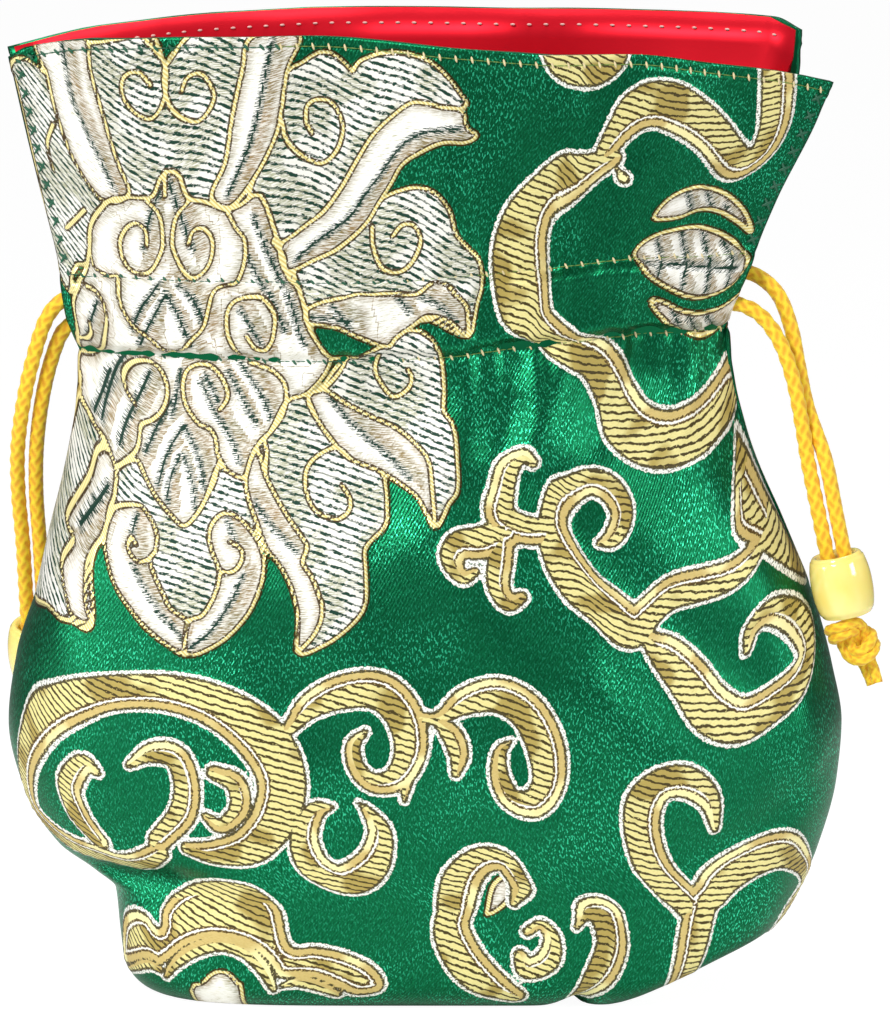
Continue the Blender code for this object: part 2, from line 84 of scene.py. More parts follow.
# Cloth
PANEL_WALL = 0.0008
LINING_WALL = 0.0005
LAYER_GAP = 0.0006
BOXY_BELOW = 0.026
NECK_FROM = 0.060
NECK_RISE = 0.028
SEAM_GAP = 0.0003
BASE_EDGE_RADIUS = 0.0050
CASING_LOW = 0.0912
CASING_HIGH = 0.1018
CASING_RISE = 0.0030
CASING_BULGE = 0.0012
CASING_RAMP = 0.0017
CASING_RECESS = 0.0024
CASING_END_ROOM = 0.0060
SLIT_HALF = 0.0032
FLAP_HALF_GAP = 0.0013
PUCKER_DEPTH = 0.0006
PUCKERS = 9
FLAP_FOLDS = [
    (-0.044, 0.0060, 0.0018), (-0.012, 0.0085, -0.0020),
    (0.016, 0.0070, 0.0017), (0.041, 0.0055, -0.0016),
]
NECK_FOLDS = [
    (-0.030, 0.0050, 0.0013), (-0.008, 0.0060, -0.0012),
    (0.014, 0.0055, 0.0014), (0.031, 0.0045, -0.0012),
]
NECK_FOLD_REACH = 0.026
NECK_FOLD_END = 0.006
CREASE_HEIGHT = 0.0180
CREASE_DEPTH = 0.0032
CREASE_HALF_WIDTH = 0.0026
CORNER_LIFT = 0.0062
CORNER_LIFT_FROM = 0.62
CORNER_LIFT_REACH = 0.020
NOTCH_AT = 0.0220
NOTCH_HALF_WIDTH = 0.0024
NOTCH_LIFT = 0.0016

# Cords, beads and knots
CORD_DIAMETER = 0.0022
STRAND_SPACING = 0.0024
STRAIGHT_REACH = 0.0225
BEAD_LENGTH = 0.0088
BEAD_DIAMETER = 0.0086
BEAD_END_DIAMETER = 0.0072
BEAD_BORE = 0.0054
BEAD_LIP = 0.0005
BEAD_SIDES = 64
BEAD_ON_KNOT_GAP = 0.0003
KNOT_STRAND_DIAMETER = 0.00165
KNOT_STRAND_OFFSET = 0.00062
KNOT_SIZE = 0.88
KNOT_TWIST = 5.0
KNOT_PLAIT = 0.0016
KNOT_STEP, CORD_STEP = 0.00025, 0.0003  # along the paths
CORD_PLAIT = 0.0022
KNOT_TOP = 0.0031
BEAD_RIGHT_CENTRE = Vector((0.0574, -0.0050, 0.0585))
BEAD_RIGHT_UP = Vector((-0.208, 0.0, 0.978)).normalized()
BEAD_LEFT_CENTRE = Vector((-0.0563, 0.0145, 0.0450))
BEAD_LEFT_UP = Vector((-0.020, -0.280, 0.960)).normalized()
RIGHT_ROUTE = [
    (0.0516, -0.0051, 0.0810), (0.0504, -0.0046, 0.0870), (0.0486, -0.0036, 0.0922),
    (0.0460, -0.0024, 0.0958), (0.0430, -0.0018, 0.0974), (0.0400, -0.0019, 0.0976),
    (0.0370, -0.0029, 0.0976), (0.0300, -0.0052, 0.0976), (0.0200, -0.0081, 0.0970),
    (0.0100, -0.0100, 0.0961), (0.0000, -0.0110, 0.0952), (-0.0100, -0.0110, 0.0947),
    (-0.0200, -0.0100, 0.0946), (-0.0300, -0.0079, 0.0946), (-0.0370, -0.0058, 0.0946),
    (-0.0425, -0.0040, 0.0947), (-0.0455, -0.0024, 0.0953), (-0.0465, 0.0000, 0.0965),
    (-0.0455, 0.0024, 0.0977), (-0.0425, 0.0040, 0.0983), (-0.0370, 0.0058, 0.0984),
    (-0.0300, 0.0079, 0.0984), (-0.0200, 0.0099, 0.0984), (-0.0100, 0.0109, 0.0985),
    (0.0000, 0.0109, 0.0990), (0.0100, 0.0101, 0.0999), (0.0200, 0.0083, 0.1008),
    (0.0300, 0.0056, 0.1014), (0.0365, 0.0035, 0.1014), (0.0395, 0.0025, 0.1016),
    (0.0422, 0.0018, 0.1017), (0.0455, 0.0013, 0.1010), (0.0484, 0.0004, 0.0985),
    (0.0502, -0.0006, 0.0940), (0.0512, -0.0016, 0.0890), (0.0525, -0.0027, 0.0830),
]
LEFT_ROUTE = [
    (-0.0582, 0.0076, 0.0690), (-0.0580, 0.0052, 0.0760), (-0.0569, 0.0026, 0.0830),
    (-0.0553, 0.0008, 0.0895), (-0.0534, -0.0007, 0.0950), (-0.0512, -0.0015, 0.0978),
    (-0.0486, -0.0019, 0.0985), (-0.0460, -0.0029, 0.0985), (-0.0420, -0.0043, 0.0984),
    (-0.0370, -0.0058, 0.0984), (-0.0300, -0.0079, 0.0984), (-0.0200, -0.0099, 0.0984),
    (-0.0100, -0.0109, 0.0985), (0.0000, -0.0109, 0.0990), (0.0100, -0.0101, 0.0999),
    (0.0200, -0.0083, 0.1008), (0.0300, -0.0056, 0.1013), (0.0350, -0.0040, 0.1011),
    (0.0380, -0.0024, 0.1005), (0.0390, 0.0000, 0.0994), (0.0380, 0.0024, 0.0983),
    (0.0350, 0.0040, 0.0977), (0.0300, 0.0054, 0.0976), (0.0200, 0.0081, 0.0970),
    (0.0100, 0.0100, 0.0961), (0.0000, 0.0110, 0.0952), (-0.0100, 0.0110, 0.0947),
    (-0.0200, 0.0100, 0.0946), (-0.0300, 0.0079, 0.0946), (-0.0370, 0.0058, 0.0946),
    (-0.0420, 0.0043, 0.0946), (-0.0460, 0.0029, 0.0947), (-0.0484, 0.0014, 0.0948),
    (-0.0510, 0.0013, 0.0934), (-0.0529, 0.0026, 0.0890), (-0.0544, 0.0039, 0.0830),
    (-0.0554, 0.0058, 0.0760), (-0.0557, 0.0079, 0.0690),
]
KNOT_ROUTE = [
    (-0.0012, 0.0000, 0.0028), (-0.0011, 0.0000, 0.0019), (-0.0011, 0.0001, 0.0006),
    (-0.0011, -0.0001, -0.0011), (-0.0005, -0.0011, -0.0025), (0.0010, -0.0022, -0.0026),
    (0.0027, -0.0013, -0.0017), (0.0031, 0.0007, -0.0008), (0.0015, 0.0023, -0.0001),
    (-0.0011, 0.0023, 0.0004), (-0.0030, 0.0009, 0.0009), (-0.0030, -0.0011, 0.0015),
    (-0.0014, -0.0023, 0.0020), (0.0004, -0.0016, 0.0021), (0.0012, -0.0002, 0.0011),
    (0.0011, 0.0001, -0.0007), (0.0011, 0.0002, -0.0025), (0.0014, 0.0004, -0.0042),
    (0.0018, 0.0002, -0.0062), (0.0020, -0.0001, -0.0080),
]

FRONT, BACK = -1.0, 1.0

# Motifs of the brocade, as points in the camera's view of the front panel. A scroll is a gold
# ribbon: places and half widths. Fields are striped, petals are satin, strokes are braided lines.
GOLD_SCROLLS = [
    [(776, 60, 17), (778, 90, 18), (775, 125, 18), (762, 153, 18), (740, 165, 18), (714, 137, 20),
     (690, 117, 22), (664, 104, 25), (640, 107, 23), (623, 124, 17), (606, 150, 12)],
    [(612, 158, 11), (578, 174, 20), (541, 197, 22), (524, 228, 26), (520, 265, 29), (527, 306, 27),
     (544, 334, 24), (572, 348, 21), (596, 360, 20), (613, 388, 22), (630, 426, 26), (662, 441, 26),
     (698, 427, 24), (722, 399, 20), (740, 370, 12)],
    [(545, 532, 14), (518, 528, 17), (500, 515, 17), (502, 490, 14), (508, 468, 13), (522, 456, 9),
     (534, 463, 6)],
    [(508, 533, 16), (482, 543, 18), (460, 546, 16), (452, 560, 13), (462, 577, 9), (475, 572, 6)],
    [(502, 535, 14), (500, 560, 14), (498, 585, 13), (508, 602, 11), (522, 597, 7)],
    [(600, 543, 5), (615, 535, 12), (622, 512, 13), (610, 490, 14), (588, 482, 15), (565, 493, 15),
     (553, 520, 16), (560, 550, 20), (580, 580, 24), (605, 608, 26), (632, 628, 22), (650, 612, 18),
     (672, 593, 18), (700, 585, 17), (730, 575, 15), (752, 552, 12), (762, 530, 5)],
    [(650, 640, 10), (668, 655, 18), (690, 680, 22), (712, 710, 24), (742, 721, 22), (776, 702, 20),
     (800, 672, 18), (805, 640, 16), (790, 618, 14), (768, 612, 12), (752, 628, 10), (748, 650, 6)],
    [(188, 848, 9), (215, 853, 16), (250, 846, 22), (275, 816, 25), (281, 776, 26), (258, 735, 26),
     (210, 703, 22), (150, 691, 19), (95, 696, 20), (47, 717, 20), (27, 760, 15), (32, 800, 15),
     (60, 834, 17), (98, 853, 18), (130, 862, 18), (158, 852, 13)],
    [(98, 772, 6), (84, 764, 12), (70, 785, 15), (78, 812, 17), (98, 838, 14)],
    [(130, 764, 6), (152, 752, 12), (177, 757, 14), (187, 785, 15), (182, 815, 16), (160, 840, 14)],
    [(214, 772, 9), (236, 783, 12), (240, 808, 12), (222, 826, 10), (206, 816, 6)],
    [(288, 730, 8), (310, 706, 15), (345, 691, 19), (380, 691, 20), (404, 715, 20), (411, 750, 18),
     (398, 778, 15), (374, 784, 12), (357, 769, 10), (353, 746, 9), (365, 732, 5)],
    [(404, 760, 12), (406, 783, 8), (404, 802, 4)],
    [(412, 716, 8), (438, 718, 8), (465, 701, 15), (498, 695, 19), (527, 711, 20), (545, 745, 20),
     (549, 780, 18), (535, 802, 16), (512, 799, 13), (500, 778, 11), (500, 752, 8), (510, 742, 4)],
    [(438, 722, 7), (452, 735, 12), (459, 755, 11), (456, 774, 6)],
    [(332, 808, 4), (314, 813, 12), (304, 840, 16), (316, 868, 19), (346, 880, 20), (372, 863, 18),
     (380, 836, 14), (369, 815, 8), (358, 804, 3)],
    [(127, 974, 5), (134, 967, 6), (148, 963, 7), (161, 969, 6)],
    [(166, 976, 5), (176, 962, 8), (195, 949, 10), (221, 943, 10), (245, 950, 10), (261, 965, 9),
     (270, 980, 7), (274, 990, 5)],
    [(283, 985, 5), (300, 981, 8), (320, 986, 8), (338, 994, 6)],
    [(513, 906, 5), (520, 885, 12), (505, 863, 14), (480, 863, 16), (460, 886, 18), (452, 920, 19),
     (462, 955, 21), (485, 980, 19), (515, 996, 12)],
    [(520, 955, 8), (528, 968, 13), (547, 960, 14), (552, 938, 10), (541, 925, 7), (528, 932, 7)],
    [(577, 925, 5), (586, 908, 12), (605, 912, 16), (612, 940, 18), (600, 970, 19), (580, 992, 14)],
    [(713, 826, 6), (706, 796, 13), (682, 780, 17), (656, 785, 19), (642, 811, 20), (646, 850, 20),
     (668, 884, 21), (692, 904, 17)],
    [(688, 980, 13), (694, 938, 18), (712, 892, 20), (745, 861, 22), (780, 849, 22), (803, 863, 17),
     (800, 890, 13), (782, 915, 11), (770, 936, 5)],
]
GOLD_PATCHES = [
    [(540, 44), (541, 60), (552, 78), (572, 89), (592, 90), (612, 81), (626, 66), (629, 48),
     (605, 40), (570, 38)],
    [(738, 420), (733, 456), (730, 490), (729, 520), (733, 541), (756, 556), (780, 572), (806, 584),
     (800, 556), (785, 526), (767, 490), (752, 455)],
    [(604, 156), (615, 158), (624, 167), (631, 174), (630, 183), (622, 186), (614, 181), (611, 170)],
    [(127, 966), (124, 948), (123, 926), (125, 910), (134, 905), (147, 911), (158, 924), (160, 906),
     (172, 890), (192, 882), (220, 881), (250, 885), (273, 898), (287, 918), (294, 943), (315, 943),
     (342, 948), (367, 958), (382, 970), (388, 984), (380, 994), (355, 997), (334, 990),
     (312, 982), (290, 981), (276, 980), (265, 964), (250, 951), (230, 944), (208, 943), (188, 950),
     (172, 963), (161, 969), (147, 963)],
]
FIELDS = [
    [(13, 66), (26, 60), (46, 75), (41, 56), (44, 36), (140, 34), (165, 67), (194, 34), (251, 36),
     (262, 120), (255, 205), (245, 262), (90, 262), (70, 290), (56, 250), (38, 170), (20, 90)],
    [(287, 77), (303, 64), (320, 54), (333, 56), (345, 66), (353, 74), (362, 62), (383, 55),
     (410, 56), (431, 64), (446, 77), (458, 93), (462, 106), (414, 110), (373, 145), (341, 198),
     (297, 242), (255, 210), (259, 171), (276, 135)],
    [(387, 198), (402, 192), (421, 189), (437, 196), (448, 211), (454, 234), (467, 250), (477, 262),
     (480, 285), (475, 303), (467, 334), (430, 318), (387, 330), (337, 320), (306, 316), (290, 275),
     (326, 255), (349, 240), (368, 221), (377, 206)],
    [(84, 395), (75, 420), (62, 478), (50, 530), (38, 585), (48, 601), (62, 614), (75, 619),
     (92, 624), (90, 560), (112, 500), (112, 450), (98, 420)],
    [(322, 389), (326, 385), (345, 362), (383, 347), (396, 336), (412, 332), (425, 336), (435, 347),
     (440, 364), (442, 389), (442, 412), (450, 424), (454, 443), (456, 487), (447, 503), (434, 526),
     (430, 480), (400, 435), (350, 408)],
    [(258, 452), (263, 440), (271, 431), (290, 395), (308, 399), (320, 424), (337, 447), (352, 460),
     (377, 470), (384, 488), (385, 508), (383, 526), (364, 547), (364, 572), (364, 600), (358, 615),
     (342, 631), (324, 643), (298, 650), (305, 600), (290, 540)],
    [(110, 450), (139, 455), (184, 500), (219, 455), (262, 440), (262, 500), (255, 530), (226, 560),
     (219, 585), (202, 620), (188, 626), (168, 612), (150, 570), (140, 530), (108, 515)],
]
PETALS = [
    [(142, 198), (153, 196), (161, 177), (170, 171), (180, 177), (188, 198), (207, 202), (226, 209),
     (240, 205), (262, 195), (281, 246), (293, 271), (304, 307), (318, 343), (330, 357), (326, 372),
     (308, 393), (287, 402), (271, 431), (258, 445), (246, 477), (226, 470), (219, 464), (206, 499),
     (195, 517), (184, 526), (173, 517), (161, 503), (149, 484), (139, 461), (126, 462), (115, 466),
     (101, 431), (86, 402), (80, 372), (78, 330), (74, 300), (84, 272), (90, 245), (92, 223),
     (107, 202), (124, 198)],
    [(36, 40), (46, 70), (52, 96), (61, 127), (73, 158), (88, 183), (107, 202), (128, 194),
     (117, 165), (107, 135), (98, 104), (88, 70), (82, 36)],
    [(252, 36), (243, 70), (233, 116), (226, 162), (212, 196), (232, 206), (259, 171), (276, 135),
     (281, 112), (287, 70), (299, 34)],
    [(477, 135), (467, 127), (462, 110), (440, 106), (414, 102), (395, 114), (373, 135), (356, 162),
     (341, 188), (322, 213), (297, 232), (281, 246), (289, 271), (326, 255), (349, 240), (368, 221),
     (377, 206), (391, 184), (402, 165), (421, 152), (444, 142), (467, 142)],
    [(306, 311), (320, 303), (337, 299), (360, 294), (387, 294), (417, 294), (438, 284), (456, 295),
     (467, 309), (467, 336), (450, 322), (429, 316), (413, 326), (396, 338), (387, 347), (360, 338),
     (337, 328), (310, 324)],
    [(322, 389), (345, 403), (370, 416), (398, 429), (419, 447), (429, 462), (432, 487), (434, 511),
     (433, 527), (425, 511), (416, 496), (396, 481), (377, 470), (352, 460), (337, 447), (320, 424),
     (308, 399)],
    [(110, 450), (100, 450), (89, 478), (69, 512), (69, 526), (75, 538), (65, 557), (65, 576),
     (69, 597), (75, 616), (93, 624), (87, 604), (87, 569), (93, 551), (104, 534), (110, 510),
     (115, 496), (117, 471)],
    [(139, 505), (118, 506), (110, 517), (105, 537), (107, 559), (115, 585), (129, 607), (146, 628),
     (166, 644), (188, 655), (188, 623), (171, 609), (163, 593), (155, 576), (150, 559), (156, 551),
     (157, 534), (150, 517)],
    [(226, 513), (240, 519), (255, 536), (263, 554), (264, 572), (257, 597), (244, 620), (220, 643),
     (188, 655), (188, 623), (202, 616), (212, 601), (218, 585), (219, 569), (212, 551), (209, 534),
     (215, 520)],
    [(257, 450), (246, 477), (249, 500), (257, 523), (266, 548), (278, 563), (289, 582), (295, 600),
     (298, 618), (297, 640), (298, 651), (315, 634), (323, 612), (319, 594), (312, 577), (303, 563),
     (307, 549), (304, 540), (290, 520), (278, 500), (266, 476)],
    [(632, 254), (646, 238), (672, 229), (704, 228), (732, 240), (748, 261), (732, 284), (704, 297),
     (672, 290), (646, 273)],
    [(652, 216), (664, 200), (682, 190), (703, 187), (726, 194), (744, 210), (752, 232), (738, 222),
     (720, 212), (700, 210), (680, 216), (664, 218)],
    [(650, 300), (664, 302), (680, 310), (698, 313), (718, 308), (736, 296), (752, 280), (750, 300),
     (736, 318), (712, 331), (688, 332), (664, 320)],
    [(196, 1000), (204, 982), (222, 971), (238, 984), (244, 1002), (220, 1012)],
    [(486, 915), (492, 890), (506, 878), (512, 895), (502, 908)],
]
STROKES = [
    [(142, 34), (165, 64), (165, 96), (153, 118), (134, 112), (122, 95), (124, 77), (138, 72), (151, 85)],
    [(191, 34), (166, 64), (167, 98), (180, 116), (199, 121), (212, 106), (214, 91), (203, 74),
     (188, 77), (182, 91)],
    [(281, 118), (287, 140), (303, 156), (322, 163), (337, 150), (343, 127), (335, 106), (322, 99),
     (308, 104), (306, 120), (312, 133)],
    [(372, 227), (373, 246), (379, 263), (387, 271), (402, 271), (414, 259), (421, 240), (414, 225),
     (402, 225), (393, 236)],
    [(54, 123), (48, 144), (54, 170)], [(67, 228), (86, 209)],
    [(142, 198), (124, 198), (107, 202), (92, 223), (90, 250), (96, 268), (109, 276), (119, 278),
     (120, 297), (126, 315), (138, 330), (157, 343), (172, 351), (189, 343), (203, 328), (208, 311),
     (214, 292), (230, 286), (238, 280), (245, 262), (246, 240), (237, 227), (226, 209), (207, 202),
     (188, 200)],
    [(145, 200), (159, 215), (163, 242), (160, 256), (153, 269), (142, 274), (130, 269), (122, 255),
     (120, 240), (126, 228), (136, 224), (145, 232), (146, 246)],
    [(188, 202), (176, 217), (172, 242), (176, 257), (184, 272), (193, 278), (205, 271), (212, 257),
     (213, 240), (205, 229), (193, 231), (188, 244)],
    [(86, 286), (98, 292), (105, 307), (107, 324), (103, 345), (94, 350), (80, 348)],
    [(77, 334), (86, 338), (92, 332), (90, 322)],
    [(254, 347), (247, 336)], [(240, 354), (231, 343), (227, 326), (228, 311), (235, 301), (251, 297),
     (264, 299), (273, 311), (275, 324), (272, 341), (264, 350), (254, 347)],
    [(274, 240), (284, 255), (287, 271), (297, 290), (305, 307), (308, 324), (318, 343), (330, 357),
     (345, 362)],
    [(330, 357), (345, 362), (326, 387), (308, 393)],
    [(136, 404), (128, 389), (126, 374), (132, 363), (145, 360), (159, 366), (166, 380), (168, 395),
     (163, 410), (153, 420), (142, 425), (140, 441), (136, 452), (124, 463)],
    [(220, 410), (227, 400), (227, 389), (220, 374), (210, 366), (199, 364), (187, 370), (183, 384),
     (184, 399), (189, 412), (199, 424), (210, 429), (216, 439), (218, 454), (226, 470)],
    [(250, 362), (272, 370), (285, 382), (287, 399), (283, 416), (272, 431), (258, 445), (252, 456),
     (246, 477)],
    [(82, 370), (82, 395), (92, 412), (101, 431), (111, 447), (117, 471)],
    [(139, 461), (149, 484), (161, 503), (173, 517), (184, 526), (195, 517), (206, 499), (215, 481),
     (219, 464)],
    [(128, 545), (131, 554), (139, 562), (149, 559), (156, 551)], [(128, 545), (132, 537), (137, 545)],
    [(219, 569), (227, 573), (237, 569), (243, 557), (240, 548), (230, 542)],
    [(379, 355), (375, 370), (383, 387), (394, 397), (408, 389), (412, 378), (408, 370)],
    [(352, 460), (336, 448), (315, 458), (306, 473), (307, 494), (315, 510), (327, 517), (339, 519),
     (349, 511), (350, 499), (342, 485)],
    [(308, 399), (320, 424), (337, 447)],
    [(165, 171), (165, 196)],
]
# Soft folds of the cloth in the same view: places, half width and height in millimetres.
SOFT_FOLDS = [
    ([(120, 362), (108, 400), (96, 440)], 2.6, 0.45), ([(205, 365), (196, 410),
    (190, 450)], 2.4, -0.40),
    ([(290, 368), (296, 410), (300, 450)], 2.8, 0.45), ([(380, 362), (392, 410),
    (398, 460)], 2.6, -0.50),
    ([(455, 352), (462, 400), (458, 460)], 3.0, 0.70), ([(520, 350), (515, 400),
    (500, 450)], 2.4, -0.60),
    ([(575, 346), (560, 395), (535, 450)], 2.6, 0.70), ([(640, 342), (630, 380),
    (600, 440)], 2.2, -0.60),
    ([(690, 340), (690, 390), (670, 450)], 2.2, 0.60), ([(725, 338), (735, 380),
    (740, 430)], 1.8, -0.40),
    ([(115, 280), (108, 240), (98, 200)], 2.4, 0.40), ([(200, 288), (196, 250),
    (188, 205)], 2.2, -0.35),
    ([(285, 292), (280, 245), (276, 200)], 2.4, 0.40), ([(372, 286), (372, 245),
    (376, 200)], 2.2, -0.40),
    ([(450, 276), (448, 235), (452, 185)], 2.6, 0.50), ([(540, 268), (548, 225),
    (556, 180)], 2.4, -0.45),
    ([(610, 262), (620, 225), (634, 180)], 2.4, 0.50), ([(690, 262), (700, 225),
    (720, 180)], 2.2, -0.40),
    ([(425, 545), (510, 650), (630, 735), (770, 850)], 5.5, 0.91),
    ([(545, 480), (640, 590), (770, 700)], 4.7, -0.77), ([(700, 480), (770, 600),
    (812, 760)], 3.8, 0.56),
    ([(290, 690), (410, 790), (520, 900)], 6.0, -0.84), ([(592, 985), (562, 905),
    (530, 830)], 3.8, 0.77),
    ([(180, 900), (260, 850), (350, 810)], 5.1, -0.56), ([(60, 600), (140, 690),
    (250, 720)], 6.0, 0.56),
    ([(640, 950), (700, 880), (790, 800)], 4.2, -0.56), ([(330, 600), (350, 680),
    (390, 760)], 5.1, 0.63),
    ([(455, 60), (440, 150), (450, 240)], 4.7, 0.56), ([(525, 70), (508, 150),
    (500, 230)], 3.8, -0.56),
    ([(640, 90), (655, 170), (650, 240)], 5.0, 0.70), ([(760, 90), (745, 160),
    (720, 230)], 4.0, -0.50),
    ([(250, 50), (262, 130), (255, 230)], 6.0, 0.60), ([(90, 60), (110, 140),
    (130, 230)], 5.0, -0.60),
]
WRINKLES = ((3.1, 0.4), (4.7, 1.9), (7.3, 4.1), (11.0, 2.6))  # pitch in millimetres and phase
WRINKLE_DEPTH = 0.00010
STITCH_PITCH = 0.0020
HEM_STITCH_IN = 0.0014

VEINS = [
    [(62, 44), (65, 64), (71, 96), (82, 123), (96, 154), (113, 190)],
    [(272, 40), (268, 60), (262, 93), (251, 142), (228, 196)],
    [(460, 128), (420, 134), (398, 150), (383, 171), (364, 196), (345, 221), (297, 259)],
    [(165, 180), (150, 215), (143, 250)], [(168, 180), (180, 215), (192, 250)],
    [(166, 294), (180, 320), (192, 345)], [(166, 294), (155, 315), (140, 345)],
    [(160, 284), (143, 305), (132, 330)], [(178, 284), (196, 305), (205, 325)],
    [(98, 300), (92, 318), (88, 340)], [(240, 310), (252, 330), (262, 345)],
    [(255, 215), (270, 255), (290, 300), (305, 345)], [(245, 250), (262, 285), (285, 330)],
    [(112, 368), (104, 392), (96, 412)], [(125, 355), (112, 385), (104, 420)],
    [(150, 372), (140, 395), (128, 420), (120, 445)], [(172, 400), (158, 425), (146, 452)],
    [(181, 370), (176, 400), (172, 415)], [(205, 375), (218, 400)], [(228, 372), (243, 400), (256, 425)],
    [(240, 362), (262, 395), (272, 420)], [(200, 380), (214, 410), (232, 440), (240, 462)],
    [(183, 425), (168, 452), (158, 485)], [(183, 425), (198, 455), (205, 490)],
    [(180, 455), (170, 480), (167, 505)], [(183, 455), (192, 480), (196, 508)],
    [(110, 484), (95, 505), (80, 525)], [(133, 565), (143, 585), (160, 612), (186, 642)],
    [(137, 515), (133, 530), (135, 545)], [(243, 575), (232, 600), (210, 632), (190, 648)],
    [(228, 520), (236, 545)], [(255, 502), (275, 530), (297, 552)],
    [(332, 306), (345, 322), (352, 334)], [(398, 298), (410, 312)], [(420, 296), (440, 306), (455, 322)],
    [(330, 396), (352, 424), (384, 452), (410, 478)], [(310, 318), (350, 322)],
    [(656, 240), (661, 262), (656, 285)], [(680, 228), (687, 262), (679, 298)],
    [(703, 227), (711, 262), (703, 300)], [(724, 240), (731, 264), (724, 292)],
    [(636, 264), (690, 265), (738, 266)], [(686, 190), (691, 208)], [(708, 192), (716, 218)],
    [(726, 205), (736, 234)], [(672, 310), (679, 324)], [(688, 314), (695, 330)],
    [(706, 312), (714, 330)],
]


# Shared helpers


def smooth_step(value):
    value = np.clip(value, 0.0, 1.0)
    return value * value * (3.0 - 2.0 * value)


def bell(value, centre, half_width):
    return np.exp(-(((value - centre) / half_width) ** 2))


def curve_through(points, at):
    """A smooth curve through the points that never overshoots them, read at the given places."""
    x, y = np.array(points, float).T
    step, rise = np.diff(x), np.diff(y)
    slope = rise / step
    tangent = np.empty_like(y)
    tangent[0], tangent[-1] = slope[0], slope[-1]
    same_way = slope[:-1] * slope[1:] > 0
    mean = 2.0 * slope[:-1] * slope[1:] / np.where(same_way, slope[:-1] + slope[1:], 1.0)
    tangent[1:-1] = np.where(same_way, mean, 0.0)
    at = np.clip(at, x[0], x[-1])
    i = np.clip(np.searchsorted(x, at) - 1, 0, len(step) - 1)
    t = (at - x[i]) / step[i]
    low, high = y[i], y[i + 1]
    return (
        low * (1 + 2 * t) * (1 - t) ** 2
        + high * t * t * (3 - 2 * t)
        + step[i] * (tangent[i] * t * (1 - t) ** 2 - tangent[i + 1] * t * t * (1 - t))
    )


def side_gap(height, slit):
    opened = smooth_step((height - CASING_LOW) / CASING_RAMP)
    flap = smooth_step((height - CASING_HIGH + CASING_RAMP) / (2.0 * CASING_RAMP))
    return SEAM_GAP / 2 + opened * ((1.0 - flap) * slit + flap * FLAP_HALF_GAP)


def folds(across, list_of_folds):
    total = np.zeros_like(across)
    for place, half_width, amount in list_of_folds:
        total += amount * bell(across, place, half_width)
    return total


